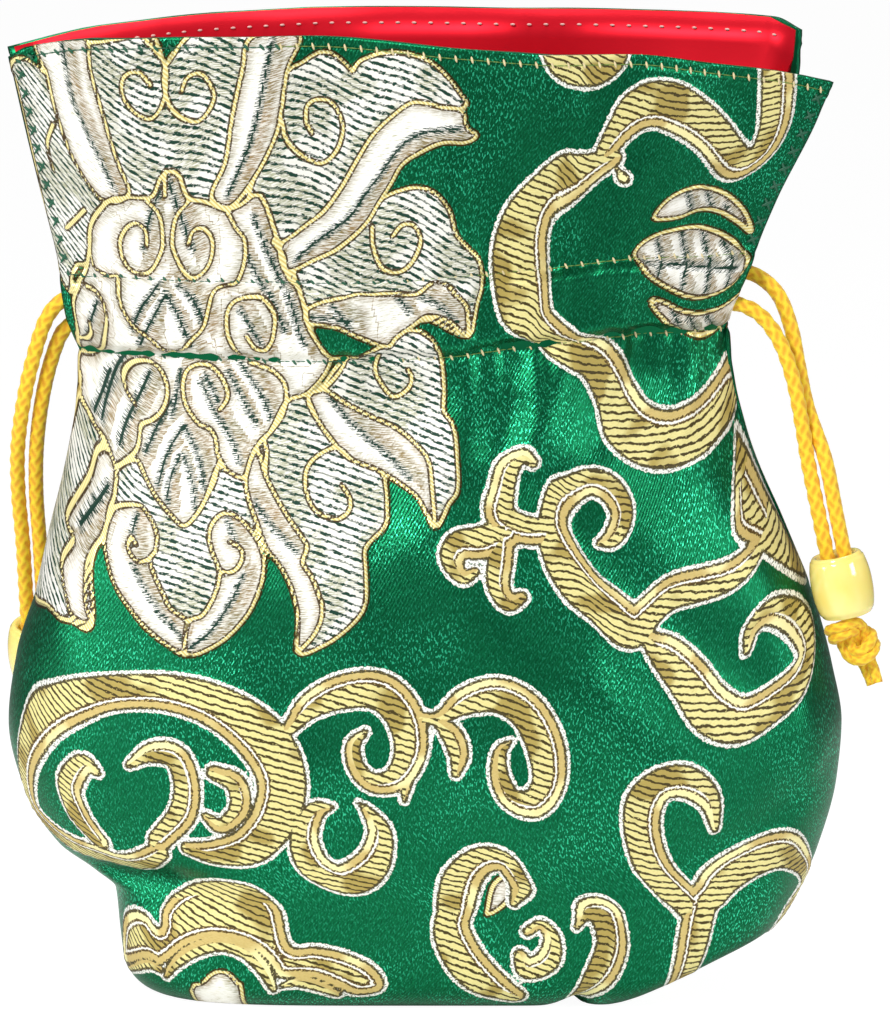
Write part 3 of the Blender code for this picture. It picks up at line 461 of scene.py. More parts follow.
def cloth_row(kind, value, tau, side, inset, end_inset, is_lining):
    """One row of points across a panel, at the shares tau from side seam to side seam."""
    radius = BASE_EDGE_RADIUS
    depth_share, in_from_edge = 1.0, inset
    if kind == "base":
        nominal, depth_share, in_from_edge = inset, value, radius
    elif kind == "edge":
        in_from_edge = radius - (radius - inset) * math.sin(value)
        nominal = radius - (radius - inset) * math.cos(value)
    elif kind == "wall":
        nominal = value
    else:
        nominal = CASING_HIGH + value * (HALF_DEPTH[-1][0] - CASING_HIGH)

    boxy = 1.0 - smooth_step(nominal / BOXY_BELOW)
    lens = smooth_step((nominal - NECK_FROM) / NECK_RISE)
    power = 2.3 + 2.6 * boxy - 0.1 * lens
    root = 2.0 + 0.4 * boxy - 0.85 * lens
    bend = 0.85 - 0.45 * lens
    s = (1.0 - bend) * tau + bend * np.sin(tau * math.pi / 2)
    shape = (1.0 - np.abs(s) ** power).clip(0.0) ** (1.0 / root)

    height = np.full_like(s, nominal)
    rise = CASING_RISE * smooth_step((s + 0.2) / 1.0)
    if kind == "flap":
        rim = FRONT_RIM if side == FRONT else BACK_RIM
        reach = (rim[-1][0] - rim[0][0]) / 2
        edge = curve_through(rim, (rim[-1][0] + rim[0][0]) / 2 + s * reach)
        low = CASING_HIGH + rise
        height = low + value * (edge - low)
    else:
        height += rise * smooth_step((nominal - NECK_FROM) / (CASING_LOW - NECK_FROM))
        lift = CORNER_LIFT * smooth_step((s - CORNER_LIFT_FROM) / (1.0 - CORNER_LIFT_FROM))
        if side == FRONT:
            notch = (s * LEFT_EDGE[1][1] + NOTCH_AT) / NOTCH_HALF_WIDTH
            lift = lift + NOTCH_LIFT * np.exp(-(notch ** 2))
        height += lift * (1.0 - smooth_step(nominal / CORNER_LIFT_REACH))

    left, right = curve_through(LEFT_EDGE, height), curve_through(RIGHT_EDGE, height)
    if side == BACK:
        right = right - BACK_FLAP_IN * smooth_step((height - CASING_HIGH) / BACK_FLAP_RISE)
    half_width, centre = (right - left) / 2, (right + left) / 2
    in_casing = smooth_step(min(nominal - CASING_LOW, CASING_HIGH - nominal) / CASING_RAMP)
    half_width = half_width - in_from_edge - (end_inset - inset) * (lens + 0.15)
    half_depth = curve_through(HALF_DEPTH, height) - in_from_edge
    if is_lining:
        half_width = half_width - CASING_END_ROOM * in_casing
        half_depth = half_depth - CASING_RECESS * in_casing
    else:
        wave = 0.5 - 0.5 * np.cos(tau * math.pi * PUCKERS)
        half_depth = half_depth + (CASING_BULGE + PUCKER_DEPTH * wave) * in_casing
    x = centre + s * half_width
    gap = side_gap(np.full_like(s, nominal), 0.0 if is_lining else SLIT_HALF)
    depth = (half_depth - gap) * shape * depth_share

    in_middle = (1.0 - np.abs(s) ** 4).clip(0.0)
    above = smooth_step((height - CASING_HIGH) / (HALF_DEPTH[-1][0] - CASING_HIGH))
    below = smooth_step((nominal - CASING_LOW + NECK_FOLD_REACH) / NECK_FOLD_REACH)
    below = below * smooth_step((CASING_LOW - nominal) / NECK_FOLD_END)
    mirrored = x if side == FRONT else -x
    depth = depth + in_middle * above * folds(mirrored, FLAP_FOLDS)
    depth = depth + in_middle * below * folds(mirrored, NECK_FOLDS)
    crease = bell(height, CREASE_HEIGHT, CREASE_HALF_WIDTH)
    crease_ends = smooth_step((-s - 0.55) / 0.25) * smooth_step((1.0 + s) / 0.12)
    if kind == "wall":
        depth = depth - CREASE_DEPTH * crease * crease_ends
    return np.stack([x, side * (depth + gap), height], axis=1) + STAND_AT


def even_row(kind, value, columns, side, inset, end_inset, is_lining):
    """A row of points evenly spaced along the cloth, and their shares from seam to seam."""
    tau = np.linspace(-1.0, 1.0, 1201)
    fine = cloth_row(kind, value, tau, side, inset, end_inset, is_lining)
    run = np.concatenate([[0.0], np.cumsum(np.linalg.norm(np.diff(fine, axis=0), axis=1))])
    stops = np.linspace(0.0, run[-1], columns + 1)
    return np.stack([np.interp(stops, run, fine[:, k]) for k in range(3)], axis=1)


def cloth_rows(base, edge, wall, flap, wall_from, flap_top=1.0):
    rows = [("base", share) for share in np.linspace(0.0, 1.0, base, endpoint=False)]
    rows += [("edge", angle) for angle in np.linspace(0.0, math.pi / 2, edge)]
    rows += [("wall", height) for height in np.linspace(wall_from, CASING_HIGH, wall + 1)[1:]]
    return rows + [("flap", share) for share in np.linspace(0.0, flap_top, flap + 1)[1:]]


def grid_normals(points, side):
    across = np.gradient(points, axis=1)
    up = np.gradient(points, axis=0)
    normal = np.cross(across, up) * -side
    return normal / np.maximum(np.linalg.norm(normal, axis=2, keepdims=True), 1e-12)


def grid_lengths(points):
    """Metres along the cloth at each point: across from the middle column, and up from the base."""
    across = np.cumsum(np.linalg.norm(np.diff(points, axis=1), axis=2), axis=1)
    across = np.pad(across, ((0, 0), (1, 0)))
    across -= across[:, [points.shape[1] // 2]]
    up = np.cumsum(np.linalg.norm(np.diff(points, axis=0), axis=2), axis=0)
    return across, np.pad(up, ((1, 0), (0, 0)))


def mesh_piece(name, points, faces, finish):
    mesh = bpy.data.meshes.new(name)
    mesh.from_pydata([tuple(p) for p in points], [], faces)
    mesh.shade_smooth()
    mesh.materials.append(finish)
    piece = bpy.data.objects.new(name, mesh)
    bpy.context.scene.collection.objects.link(piece)
    return piece


def cloth_piece(name, side, points, normals, wall, step, finish):
    """A closed sheet: a fine outer face and a coarse inner one, joined round their border."""
    rows, columns = points.shape[:2]
    keep_rows = sorted(set(range(0, rows, step)) | {rows - 1})
    keep_columns = sorted(set(range(0, columns, step)) | {columns - 1})
    inner = (points - normals * wall)[np.ix_(keep_rows, keep_columns)]
    count = rows * columns
    outer_at = np.arange(count).reshape(rows, columns)
    inner_at = count + np.arange(inner.shape[0] * inner.shape[1]).reshape(inner.shape[:2])
    faces = grid_faces(outer_at, side == BACK) + grid_faces(inner_at, side == FRONT)
    for r, c, start, stop, axis in border_runs(keep_rows, keep_columns):
        if axis == 1:
            dense = [int(outer_at[r[0], k]) for k in range(start, stop + 1)]
        else:
            dense = [int(outer_at[k, c[0]]) for k in range(start, stop + 1)]
        ends = [int(inner_at[r[1][0], c[1][0]]), int(inner_at[r[1][1], c[1][1]])]
        face = dense[::-1] + ends
        faces.append(face if border_outwards(r[0], c[0], axis, side) else face[::-1])
    both = np.concatenate([points.reshape(-1, 3), inner.reshape(-1, 3)])
    return mesh_piece(name, both, faces, finish)


def grid_faces(at, turned):
    square = np.stack([at[:-1, :-1], at[:-1, 1:], at[1:, 1:], at[1:, :-1]], axis=-1).reshape(-1, 4)
    return (square[:, ::-1] if turned else square).tolist()


def border_runs(keep_rows, keep_columns):
    """Each coarse step round the border, with the fine points between its ends."""
    last_row, last_column = len(keep_rows) - 1, len(keep_columns) - 1
    for k in range(last_column):
        for row, coarse in ((0, 0), (keep_rows[-1], last_row)):
            yield (row, (coarse, coarse)), (0, (k, k + 1)), keep_columns[k], keep_columns[k + 1], 1
    for k in range(last_row):
        for column, coarse in ((0, 0), (keep_columns[-1], last_column)):
            yield (0, (k, k + 1)), (column, (coarse, coarse)), keep_rows[k], keep_rows[k + 1], 0


def border_outwards(row, column, axis, side):
    """Whether a border face made backwards along the fine points looks outwards there."""
    forward = (row == 0) if axis == 1 else (column != 0)
    return forward if side == FRONT else not forward


# The woven pattern

# The camera and the height of the frame at the pouch, for a picture of 890 by 1024 pixels.
CAMERA_TARGET = Vector((0.00277, 0.0, 0.0678))
CAMERA_DISTANCE = 0.75
CAMERA_ELEVATION = math.radians(10.5)
FRAME_HEIGHT = 0.14336
FRAME_PIXELS = (890, 1024)
MM_A_PIXEL = FRAME_HEIGHT * 1000 / FRAME_PIXELS[1]
FAR = 6.0  # millimetres past which no part of the pattern matters
FIELD_GROWTH, GOLD_GROWTH = 0.30, 0.25
NEAR_PIXELS = 5.0


def in_view(points):
    """Where points are seen from the scene's camera, in pixels of its frame."""
    ahead = np.array((0.0, math.cos(CAMERA_ELEVATION), -math.sin(CAMERA_ELEVATION)))
    upwards = np.array((0.0, math.sin(CAMERA_ELEVATION), math.cos(CAMERA_ELEVATION)))
    from_camera = points - (np.array(CAMERA_TARGET) - ahead * CAMERA_DISTANCE)
    scale = FRAME_PIXELS[1] / FRAME_HEIGHT * CAMERA_DISTANCE / (from_camera @ ahead)
    x = FRAME_PIXELS[0] / 2 + from_camera[..., 0] * scale
    return np.stack([x, FRAME_PIXELS[1] / 2 - (from_camera @ upwards) * scale], axis=-1), ahead


def smooth_line(points, closed, steps=5):
    """A curve through the points, also for the widths that ride on them."""
    p = np.array(points, float)
    if len(p) == 2 and not closed:
        return p
    if closed:
        p = np.vstack([p[-1:], p, p[:2]])
    else:
        p = np.vstack([2 * p[0] - p[1], p, 2 * p[-1] - p[-2]])
    fine = []
    for a, b, c, d in zip(p, p[1:], p[2:], p[3:]):
        for t in np.arange(steps) / steps:
            bend = (2 * a - 5 * b + 4 * c - d) * t ** 2 + (3 * b - a - 3 * c + d) * t ** 3
            fine.append((2 * b + (c - a) * t + bend) / 2)
    return np.array(fine if closed else fine + [p[-2]])


def motif_on_cloth(points, normals, across, up):
    """A function that takes pixels of the view to millimetres across and up the front panel."""
    seen, ahead = in_view(points)
    facing = (normals @ ahead) < -0.05
    rows, columns = np.nonzero(facing)
    pixels = seen[rows, columns]
    place = np.stack([across, up], axis=-1) * 1000.0
    step_seen = [np.gradient(seen, axis=axis) for axis in (1, 0)]
    step_cloth = [np.gradient(place, axis=axis) for axis in (1, 0)]

    def onto(motif):
        motif = np.asarray(motif, float)
        found = []
        for point in motif[:, :2]:
            apart = ((pixels - point) ** 2).sum(axis=1)
            near = np.argmin(apart)
            at = rows[near], columns[near]
            grid = np.stack([s[at] for s in step_seen], axis=1)
            reach = 1.0 if apart[near] < NEAR_PIXELS ** 2 else 40.0
            steps = np.linalg.lstsq(grid, point - seen[at], rcond=None)[0].clip(-reach, reach)
            found.append(place[at] + step_cloth[0][at] * steps[0] + step_cloth[1][at] * steps[1])
        found = np.array(found)
        if motif.shape[1] == 3:
            found = np.column_stack([found, motif[:, 2] * MM_A_PIXEL])
        return found

    return onto


def to_line(places, line, closed):
    """Distance from places to a line, which side they are on, and the width there."""
    a = line
    b = np.roll(line, -1, axis=0)
    if not closed:
        a, b = a[:-1], b[:-1]
    along = b[:, :2] - a[:, :2]
    size = np.maximum((along ** 2).sum(axis=1), 1e-12)
    offset = places[:, None, :] - a[None, :, :2]
    t = ((offset * along).sum(axis=2) / size).clip(0.0, 1.0)
    gap = offset - t[:, :, None] * along
    far = np.sqrt((gap ** 2).sum(axis=2))
    widths = a[:, 2] + t * (b[:, 2] - a[:, 2]) if line.shape[1] > 2 else np.zeros_like(far)
    best = (far - widths).argmin(axis=1)
    pick = np.arange(len(places)), best
    side = np.sign(along[best, 0] * offset[pick][:, 1] - along[best, 1] * offset[pick][:, 0])
    return far[pick], side, widths[pick]


def inside(places, outline):
    a, b = outline[:, :2], np.roll(outline[:, :2], -1, axis=0)
    x, y = places[:, :1], places[:, 1:]
    crosses = (a[:, 1] > y) != (b[:, 1] > y)
    rise = np.where(b[:, 1] == a[:, 1], 1e-9, b[:, 1] - a[:, 1])
    edge = a[:, 0] + (y - a[:, 1]) / rise * (b[:, 0] - a[:, 0])
    return (crosses & (x < edge)).sum(axis=1) % 2 == 1


def near_box(places, line, margin):
    low, high = line[:, :2].min(axis=0) - margin, line[:, :2].max(axis=0) + margin
    return np.nonzero(((places > low) & (places < high)).all(axis=1))[0]


def pattern_fields(places, onto):
    """Millimetres to each part of the pattern, less than nothing inside, at every place."""
    count = len(places)
    fields = {name: np.full(count, FAR) for name in ("gold", "satin", "striped", "line", "vein")}
    fields["gold_side"] = np.zeros(count)
    fields["shade"] = np.full(count, FAR)

    def closed_motif(points, kind, grown=0.0):
        outline = smooth_line(onto(points), True, 4)
        at = near_box(places, outline, FAR)
        far = to_line(places[at], outline, True)[0]
        held = inside(places[at], outline)
        signed = np.where(held, -far, far) - grown
        held, far = signed < 0, np.abs(signed)
        other = "striped" if kind == "satin" else "satin"
        fields[kind][at] = np.minimum(fields[kind][at], signed)
        fields[other][at] = np.maximum(fields[other][at], -signed)
        fields["line"][at] = np.where(held, far, np.minimum(fields["line"][at], far))
        fields["vein"][at] = np.where(held, FAR, fields["vein"][at])

    for points in FIELDS:
        closed_motif(points, "striped", FIELD_GROWTH)
    for points in PETALS:
        closed_motif(points, "satin")
    for points in STROKES:
        line = smooth_line(onto(points), False)
        at = near_box(places, line, 2.0)
        far = to_line(places[at], line, False)[0]
        fields["line"][at] = np.minimum(fields["line"][at], far)
    for points in VEINS:
        downwards = points if points[0][1] <= points[-1][1] else points[::-1]
        line = smooth_line(onto(downwards), False)
        at = near_box(places, line, 3.5)
        far, side, _ = to_line(places[at], line, False)
        closer = far < fields["vein"][at]
        fields["shade"][at] = np.where(closer, side * far, fields["shade"][at])
        fields["vein"][at] = np.minimum(fields["vein"][at], far)
    for points in GOLD_SCROLLS:
        line = smooth_line(onto(points), False)
        at = near_box(places, line, FAR)
        far, side, width = to_line(places[at], line, False)
        signed = far - width - GOLD_GROWTH
        closer = signed < fields["gold"][at]
        share = side * far / np.maximum(width, 0.2)
        fields["gold_side"][at] = np.where(closer, share, fields["gold_side"][at])
        fields["gold"][at] = np.minimum(fields["gold"][at], signed)
    for points in GOLD_PATCHES:
        outline = smooth_line(onto(points), True, 4)
        at = near_box(places, outline, FAR)
        far = to_line(places[at], outline, True)[0]
        signed = np.where(inside(places[at], outline), -far, far)
        fields["gold"][at] = np.minimum(fields["gold"][at], signed)
    return fields


def off_the_table(points):
    """0 where the cloth rests on the table, easing to 1 above it."""
    return smooth_step((points[:, :, 2] - 0.001) / 0.007)


def fold_lift(places, onto):
    """How far the soft folds stand out at each place, in metres."""
    lift = np.zeros(len(places))
    for points, half_width, amount in SOFT_FOLDS:
        line = smooth_line(onto(points), False)
        at = near_box(places, line, 2.6 * half_width)
        far = to_line(places[at], line, False)[0]
        lift[at] += amount * bell(far, 0.0, half_width)
    return lift / 1000.0


def same_lift(points, outer_points, outer_lift):
    """The lift of the cloth outside, read at the same height and the same share across."""
    lift = np.zeros(points.shape[:2])
    for column in range(points.shape[1]):
        outer = round(column / (points.shape[1] - 1) * (outer_points.shape[1] - 1))
        heights = np.maximum.accumulate(outer_points[:, outer, 2])
        lift[:, column] = np.interp(points[:, column, 2], heights, outer_lift[:, outer])
    return lift


def gather_lift(across, up, seam_rows):
    """Small wrinkles and stitch dimples along the sewn rows, in metres."""
    u = across * 1000
    wrinkle = sum(np.cos(2 * math.pi * u / pitch + phase) for pitch, phase in WRINKLES)
    dimple = 0.5 + 0.5 * np.cos(2 * math.pi * across / STITCH_PITCH)
    lift = np.zeros_like(up)
    for row in seam_rows:
        far = up - up[row]
        lift += WRINKLE_DEPTH * wrinkle * bell(far, 0.0, 0.0045)
        lift -= (0.00010 + 0.00016 * dimple) * bell(far, 0.0, 0.0006)
    below_rim = up[-1] - up
    lift += 0.00016 * (1.0 - smooth_step((below_rim - 0.0020) / 0.0006))
    lift -= (0.00008 + 0.00014 * dimple) * bell(below_rim, HEM_STITCH_IN, 0.0004)
    return lift


def level_line(points, normals, up, level, lift):
    """A line across a panel at a distance up each of its columns, a little off the cloth."""
    found = []
    for column in range(points.shape[1]):
        spot = [np.interp(level[column], up[:, column], points[:, column, k]) for k in range(3)]
        out = [np.interp(level[column], up[:, column], normals[:, column, k]) for k in range(3)]
        found.append(np.array(spot) + np.array(out) * lift)
    return np.array(found)


def raise_pattern(points, normals, fields):
    """Stands the woven figures a little out of the ground, and their outlines a little more."""
    figure = np.minimum(fields["gold"], np.minimum(fields["satin"], fields["striped"]))
    lift = 0.00016 * smooth_step(-figure / 0.5)
    lift += 0.00010 * (1.0 - smooth_step(fields["line"] / 0.55)) * (fields["line"] < FAR)
    lift -= 0.00010 * (1.0 - smooth_step(fields["vein"] / 0.5)) * (fields["satin"] < 0)
    lift += 0.00008 * smooth_step(1.0 - np.abs(fields["gold"] + 0.45) / 0.4)
    lift = lift.reshape(points.shape[:2]) * off_the_table(points)
    return points + normals * lift[:, :, None]


def keep_fields(piece, fields, across, up, count):
    """Stores the fields on the outer face's points, and the cloth's own coordinates as a UV map."""
    mesh = piece.data
    total = len(mesh.vertices)
    for name, values in fields.items():
        stored = mesh.attributes.new(name, "FLOAT", "POINT")
        full = np.zeros(total)
        full[:count] = values
        if name != "gold_side":
            full[count:] = FAR
        stored.data.foreach_set("value", full.astype(np.float32))
    set_cloth_uv(piece, across, up, count)


def set_cloth_uv(piece, across, up, count):
    mesh = piece.data
    layer = mesh.uv_layers.new(name="cloth")
    corner = np.empty(len(mesh.loops), np.int32)
    mesh.loops.foreach_get("vertex_index", corner)
    flat = np.zeros((len(mesh.vertices), 2))
    flat[:count, 0], flat[:count, 1] = across.ravel() * 1000, up.ravel() * 1000
    layer.data.foreach_set("uv", flat[corner].ravel().astype(np.float32))


# Materials


class Net:
    """Short words for building a node tree."""

    def __init__(self, tree):
        self.tree = tree

    def node(self, kind, **settings_of_it):
        made = self.tree.nodes.new(kind)
        for name, value in settings_of_it.items():
            setattr(made, name, value)
        return made

    def put(self, socket, value):
        if isinstance(value, bpy.types.NodeSocket):
            self.link(value, socket)
            return
        held = socket.default_value
        if hasattr(held, "__len__") and not hasattr(value, "__len__"):
            value = [value] * len(held)
        elif hasattr(held, "__len__") and len(held) == 4 and len(value) == 3:
            value = (*value, 1.0)
        socket.default_value = value

    def link(self, output, socket):
        self.tree.links.new(output, socket)

    def math(self, operation, *values, clamp=False):
        made = self.node("ShaderNodeMath", operation=operation, use_clamp=clamp)
        for socket, value in zip(made.inputs, values):
            self.put(socket, value)
        return made.outputs[0]

    def times(self, one, two):
        return self.math("MULTIPLY", one, two)

    def ramp(self, value, factor, more):
        """value * factor + more"""
        return self.math("MULTIPLY_ADD", value, factor, more)

    def most(self, one, two):
        return self.math("MAXIMUM", one, two)

    def bumped(self, height, strength, distance):
        bump = self.node("ShaderNodeBump")
        bump.inputs["Strength"].default_value = strength
        bump.inputs["Distance"].default_value = distance
        self.put(bump.inputs["Height"], height)
        self.put(self.tree.nodes["Principled BSDF"].inputs["Normal"], bump.outputs[0])

    def within(self, value, low, high):
        """1 where value is at low or under, easing to 0 at high."""
        made = self.node("ShaderNodeMapRange", interpolation_type="SMOOTHSTEP")
        for socket, number in zip(made.inputs, (value, low, high, 1.0, 0.0)):
            self.put(socket, number)
        return made.outputs[0]

    def mix(self, share, one, two, blend="MIX"):
        made = self.node("ShaderNodeMix", data_type="RGBA", blend_type=blend)
        self.put(made.inputs[0], share)
        self.put(made.inputs[6], one)
        self.put(made.inputs[7], two)
        return made.outputs[2]

    def field(self, name):
        return self.node("ShaderNodeAttribute", attribute_name=name).outputs["Fac"]

    def noise(self, place, scale, detail=2.0, rough=0.5):
        made = self.node("ShaderNodeTexNoise")
        self.put(made.inputs["Vector"], place)
        self.put(made.inputs["Scale"], scale)
        self.put(made.inputs["Detail"], detail)
        self.put(made.inputs["Roughness"], rough)
        return made.outputs["Fac"]

    def turned(self, place, angle, scale):
        made = self.node("ShaderNodeMapping")
        self.put(made.inputs["Vector"], place)
        made.inputs["Rotation"].default_value = (0.0, 0.0, math.radians(angle))
        made.inputs["Scale"].default_value = (*scale, 1.0)
        return made.outputs["Vector"]

    def split(self, place):
        made = self.node("ShaderNodeSeparateXYZ")
        self.put(made.inputs[0], place)
        return made.outputs

    def wave(self, value, pitch):
        """A smooth ridge from 0 to 1 and back, once each pitch."""
        turn = self.math("MULTIPLY", value, 2 * math.pi / pitch)
        return self.math("MULTIPLY_ADD", self.math("COSINE", turn), 0.5, 0.5)


def brocade_material(ground):
    finish = new_material("brocade", ground, 0.36)
    net = Net(finish.node_tree)
    shader = finish.node_tree.nodes["Principled BSDF"]
    cloth = net.node("ShaderNodeUVMap", uv_map="cloth").outputs[0]
    fuzz = net.noise(cloth, 2.1, 2.0)
    gold = net.math("ADD", net.field("gold"), net.ramp(fuzz, 0.56, -0.33))
    side = net.field("gold_side")
    satin, striped = net.field("satin"), net.field("striped")
    line, vein, vein_side = net.field("line"), net.field("vein"), net.field("shade")

    # satin ground: steep twill in threads of slightly different greens, with bright specks: lighter
    # threads brightened into painted glints, stronger in broad patches of painted sheen
    twill = net.split(net.turned(cloth, 34, (1.0, 1.0)))
    rib = net.wave(net.ramp(net.noise(cloth, 0.8, 1.0), 0.35, twill[0]), 0.42)
    thread = net.noise(net.turned(cloth, 34, (4.0, 1.1)), 1.0, 2.0)
    speck = net.noise(net.turned(cloth, 34, (4.2, 1.9)), 1.0, 1.0)
    broad = net.noise(cloth, 0.055, 2.0)
    dark = [c * 0.22 for c in ground]
    light = (ground[0] + 0.004, ground[1] * 1.7, ground[2] * 1.75)
    green = net.mix(net.ramp(rib, 0.22, net.times(thread, 0.85)), dark, light)
    # painted sheen: broad patches where the painted glints on the specks are stronger
    sheen_patches = net.ramp(net.within(broad, 0.60, 0.42), 0.75, 0.25)
    glint = net.times(net.within(speck, 0.64, 0.56), sheen_patches)
    green = net.mix(net.times(glint, 0.9), green, (0.05, 0.70, 0.38))

    # gold yarns: slanting stripes, white edges, and a plain band along the inner side
    slope = net.split(net.turned(cloth, 20, (1.0, 1.0)))
    wobble = net.noise(cloth, 0.9, 2.0)
    yarn = net.wave(net.ramp(wobble, 0.75, slope[1]), 0.98)
    fine = net.noise(net.turned(cloth, 20, (2.2, 14.0)), 1.0, 2.0)
    dots = net.noise(cloth, 3.2, 1.0)
    bright = net.mix(fine, (0.66, 0.55, 0.16), (0.97, 0.92, 0.46))
    # darker olive gold in broad noise patches: painted shade of the cloth's folds
    painted_olive_shade = net.times(net.within(net.noise(cloth, 0.13, 1.0), 0.40, 0.48), 0.80)
    bright = net.mix(painted_olive_shade, bright, (0.36, 0.25, 0.035))
    gap = net.times(net.within(yarn, 0.14, 0.34), net.within(dots, 0.66, 0.72))
    gold_colour = net.mix(gap, bright, (0.060, 0.042, 0.008))
    depth = net.times(gold, -1.0)
    inner = net.within(side, 0.12, 0.02)
    deeper = net.within(net.noise(cloth, 0.09, 1.0), 0.50, 0.58)
    band_colour = net.mix(deeper, (0.95, 0.86, 0.40), (0.52, 0.34, 0.05))
    band_colour = net.mix(net.times(fine, 0.5), band_colour, (0.98, 0.93, 0.55))
    dotted = net.within(dots, 0.56, 0.66)

    def ring(middle, half):
        off = net.math("ABSOLUTE", net.math("SUBTRACT", depth, middle))
        return net.within(off, half * 0.7, half * 1.3)

    in_band = net.times(inner, net.within(depth, 2.25, 2.35))
    gold_colour = net.mix(in_band, gold_colour, band_colour)
    lines = net.most(ring(2.28, 0.14), ring(1.72, 0.14))
    lines = net.times(net.times(inner, lines), dotted)
    white_line = net.times(inner, ring(2.00, 0.15))
    gold_colour = net.mix(white_line, gold_colour, (0.94, 0.93, 0.85))
    gold_colour = net.mix(lines, gold_colour, (0.095, 0.055, 0.010))
    gold_colour = net.mix(net.within(depth, 0.46, 0.54), gold_colour, (0.93, 0.93, 0.86))
    edge_dots = net.times(ring(0.62, 0.17), net.within(dots, 0.60, 0.72))
    gold_colour = net.mix(edge_dots, gold_colour, (0.075, 0.060, 0.020))
    nick = net.times(net.within(depth, 0.42, 0.50), net.within(dots, 0.60, 0.56))
    gold_colour = net.mix(net.times(nick, 0.8), gold_colour, (0.07, 0.09, 0.035))

    # white satin petals: tan threads on one side of each vein and near the outlines
    grain = net.noise(net.turned(cloth, 4, (0.8, 7.0)), 1.0, 3.0, 0.6)
    worn = net.within(net.noise(cloth, 0.12, 1.0), 0.50, 0.62)
    low = net.mix(worn, (0.80, 0.76, 0.62), (0.44, 0.42, 0.22))
    pale = net.mix(net.within(grain, 0.72, 0.50), (0.98, 0.97, 0.91), low)
    streak = net.within(grain, 0.56, 0.42)
    tan = net.mix(net.noise(cloth, 0.25, 1.0), (0.13, 0.15, 0.05), (0.42, 0.26, 0.12))
    beside_vein = net.times(net.within(vein_side, 1.6, 3.2), net.within(vein_side, 0.10, -0.05))
    by_line = net.times(net.within(line, 0.35, 1.8), 0.80)
    shade = net.times(net.most(by_line, beside_vein), net.ramp(streak, 0.72, 0.28))
    pale = net.mix(shade, pale, tan)
    reach = net.ramp(net.within(grain, 0.56, 0.46), 0.50, 0.16)
    vein_ink = net.within(net.math("SUBTRACT", vein, reach), -0.03, 0.04)
    pale = net.mix(vein_ink, pale, (0.003, 0.035, 0.020))

    # striped fields: white with rows of dark dashes that slope down to the right
    dash = net.split(net.turned(cloth, 24, (1.0, 1.0)))
    row_wave = net.wave(net.ramp(wobble, 0.55, dash[1]), 0.98)
    broken = net.noise(net.turned(cloth, 24, (0.72, 1.25)), 1.0, 2.0, 0.7)
    ink = net.times(net.within(row_wave, 0.36, 0.52), net.within(broken, 0.51, 0.47))
    hair = net.times(net.within(row_wave, 0.04, 0.16), 0.75)
    ink = net.most(ink, hair)
    stripes = net.mix(fine, (0.80, 0.78, 0.68), (0.98, 0.97, 0.93))
    dull = net.times(net.within(net.noise(cloth, 0.14, 1.0), 0.46, 0.56), streak)
    stripes = net.mix(net.times(dull, 0.8), stripes, (0.33, 0.34, 0.17))
    stripes = net.mix(ink, stripes, (0.005, 0.045, 0.025))

    # braided outlines: cream yarn with dark dots beside it
    beat = net.wave(net.math("ADD", net.split(cloth)[0], net.split(cloth)[1]), 0.62)
    cord = net.mix(beat, (0.72, 0.56, 0.16), (0.98, 0.93, 0.52))
    beside = net.times(net.within(line, 0.42, 0.52), net.within(dots, 0.56, 0.66))

    satin_in, striped_in = net.within(satin, -0.02, 0.04), net.within(striped, -0.02, 0.04)
    gold_in = net.within(gold, -0.03, 0.05)
    colour = net.mix(striped_in, green, stripes)
    colour = net.mix(satin_in, colour, pale)
    colour = net.mix(beside, colour, (0.06, 0.035, 0.010))
    colour = net.mix(net.within(line, 0.19, 0.26), colour, cord)
    colour = net.mix(gold_in, colour, gold_colour)
    net.put(shader.inputs["Base Color"], colour)

    figure = net.most(gold_in, net.most(satin_in, striped_in))
    net.put(shader.inputs["Roughness"], net.ramp(figure, 0.14, 0.34))
    net.put(shader.inputs["Metallic"], net.ramp(figure, -0.70, 0.88))
    height = net.ramp(rib, 0.5, net.times(fine, 0.6))
    raised = net.ramp(gap, -1.0, net.times(fine, 0.8))
    height = net.mix(gold_in, height, raised)
    net.bumped(height, 0.35, 0.00012)
    shader.inputs["Specular IOR Level"].default_value = 0.30
    return finish


def lining_material(red):
    finish = new_material("red_satin", red, 0.38)
    net = Net(finish.node_tree)
    shader = finish.node_tree.nodes["Principled BSDF"]
    cloth = net.node("ShaderNodeUVMap", uv_map="cloth").outputs[0]
    weave = net.split(net.turned(cloth, 30, (1.0, 1.0)))
    rib = net.wave(weave[1], 0.62)
    cross = net.wave(weave[0], 0.80)
    thread = net.noise(net.turned(cloth, 30, (2.0, 10.0)), 1.0, 2.0)
    dot = net.times(rib, cross)
    share = net.ramp(dot, 0.6, net.times(thread, 0.5))
    # the weave is painted in light and shade: its raised dots a lit copy of the red, the rest a shaded
    # copy
    lit = (min(1.0, red[0] * 1.45), red[1] + 0.008, red[2] + 0.015)
    colour = net.mix(share, [c * 0.55 for c in red], lit)
    # sparse pale specks: painted highlights on the satin
    speck = net.noise(net.turned(cloth, 30, (3.0, 3.4)), 1.0, 1.0)
    colour = net.mix(net.times(net.within(speck, 0.70, 0.62), 0.6), colour, (0.92, 0.22, 0.26))
    net.put(shader.inputs["Base Color"], colour)
    net.bumped(net.math("ADD", dot, thread), 0.4, 0.00008)
    shader.inputs["Metallic"].default_value = 0.5
    shader.inputs["Specular IOR Level"].default_value = 0.1
    return finish


def thread_material(name, colour):
    finish = new_material(name, colour, 0.5)
    net = Net(finish.node_tree)
    shader = finish.node_tree.nodes["Principled BSDF"]
    place = net.node("ShaderNodeTexCoord").outputs["Object"]
    strand_noise = net.noise(place, 2600.0, 2.0)
    net.put(shader.inputs["Base Color"], net.mix(strand_noise, [c * 0.55 for c in colour], colour))
    net.bumped(strand_noise, 0.3, 0.00005)
    return finish


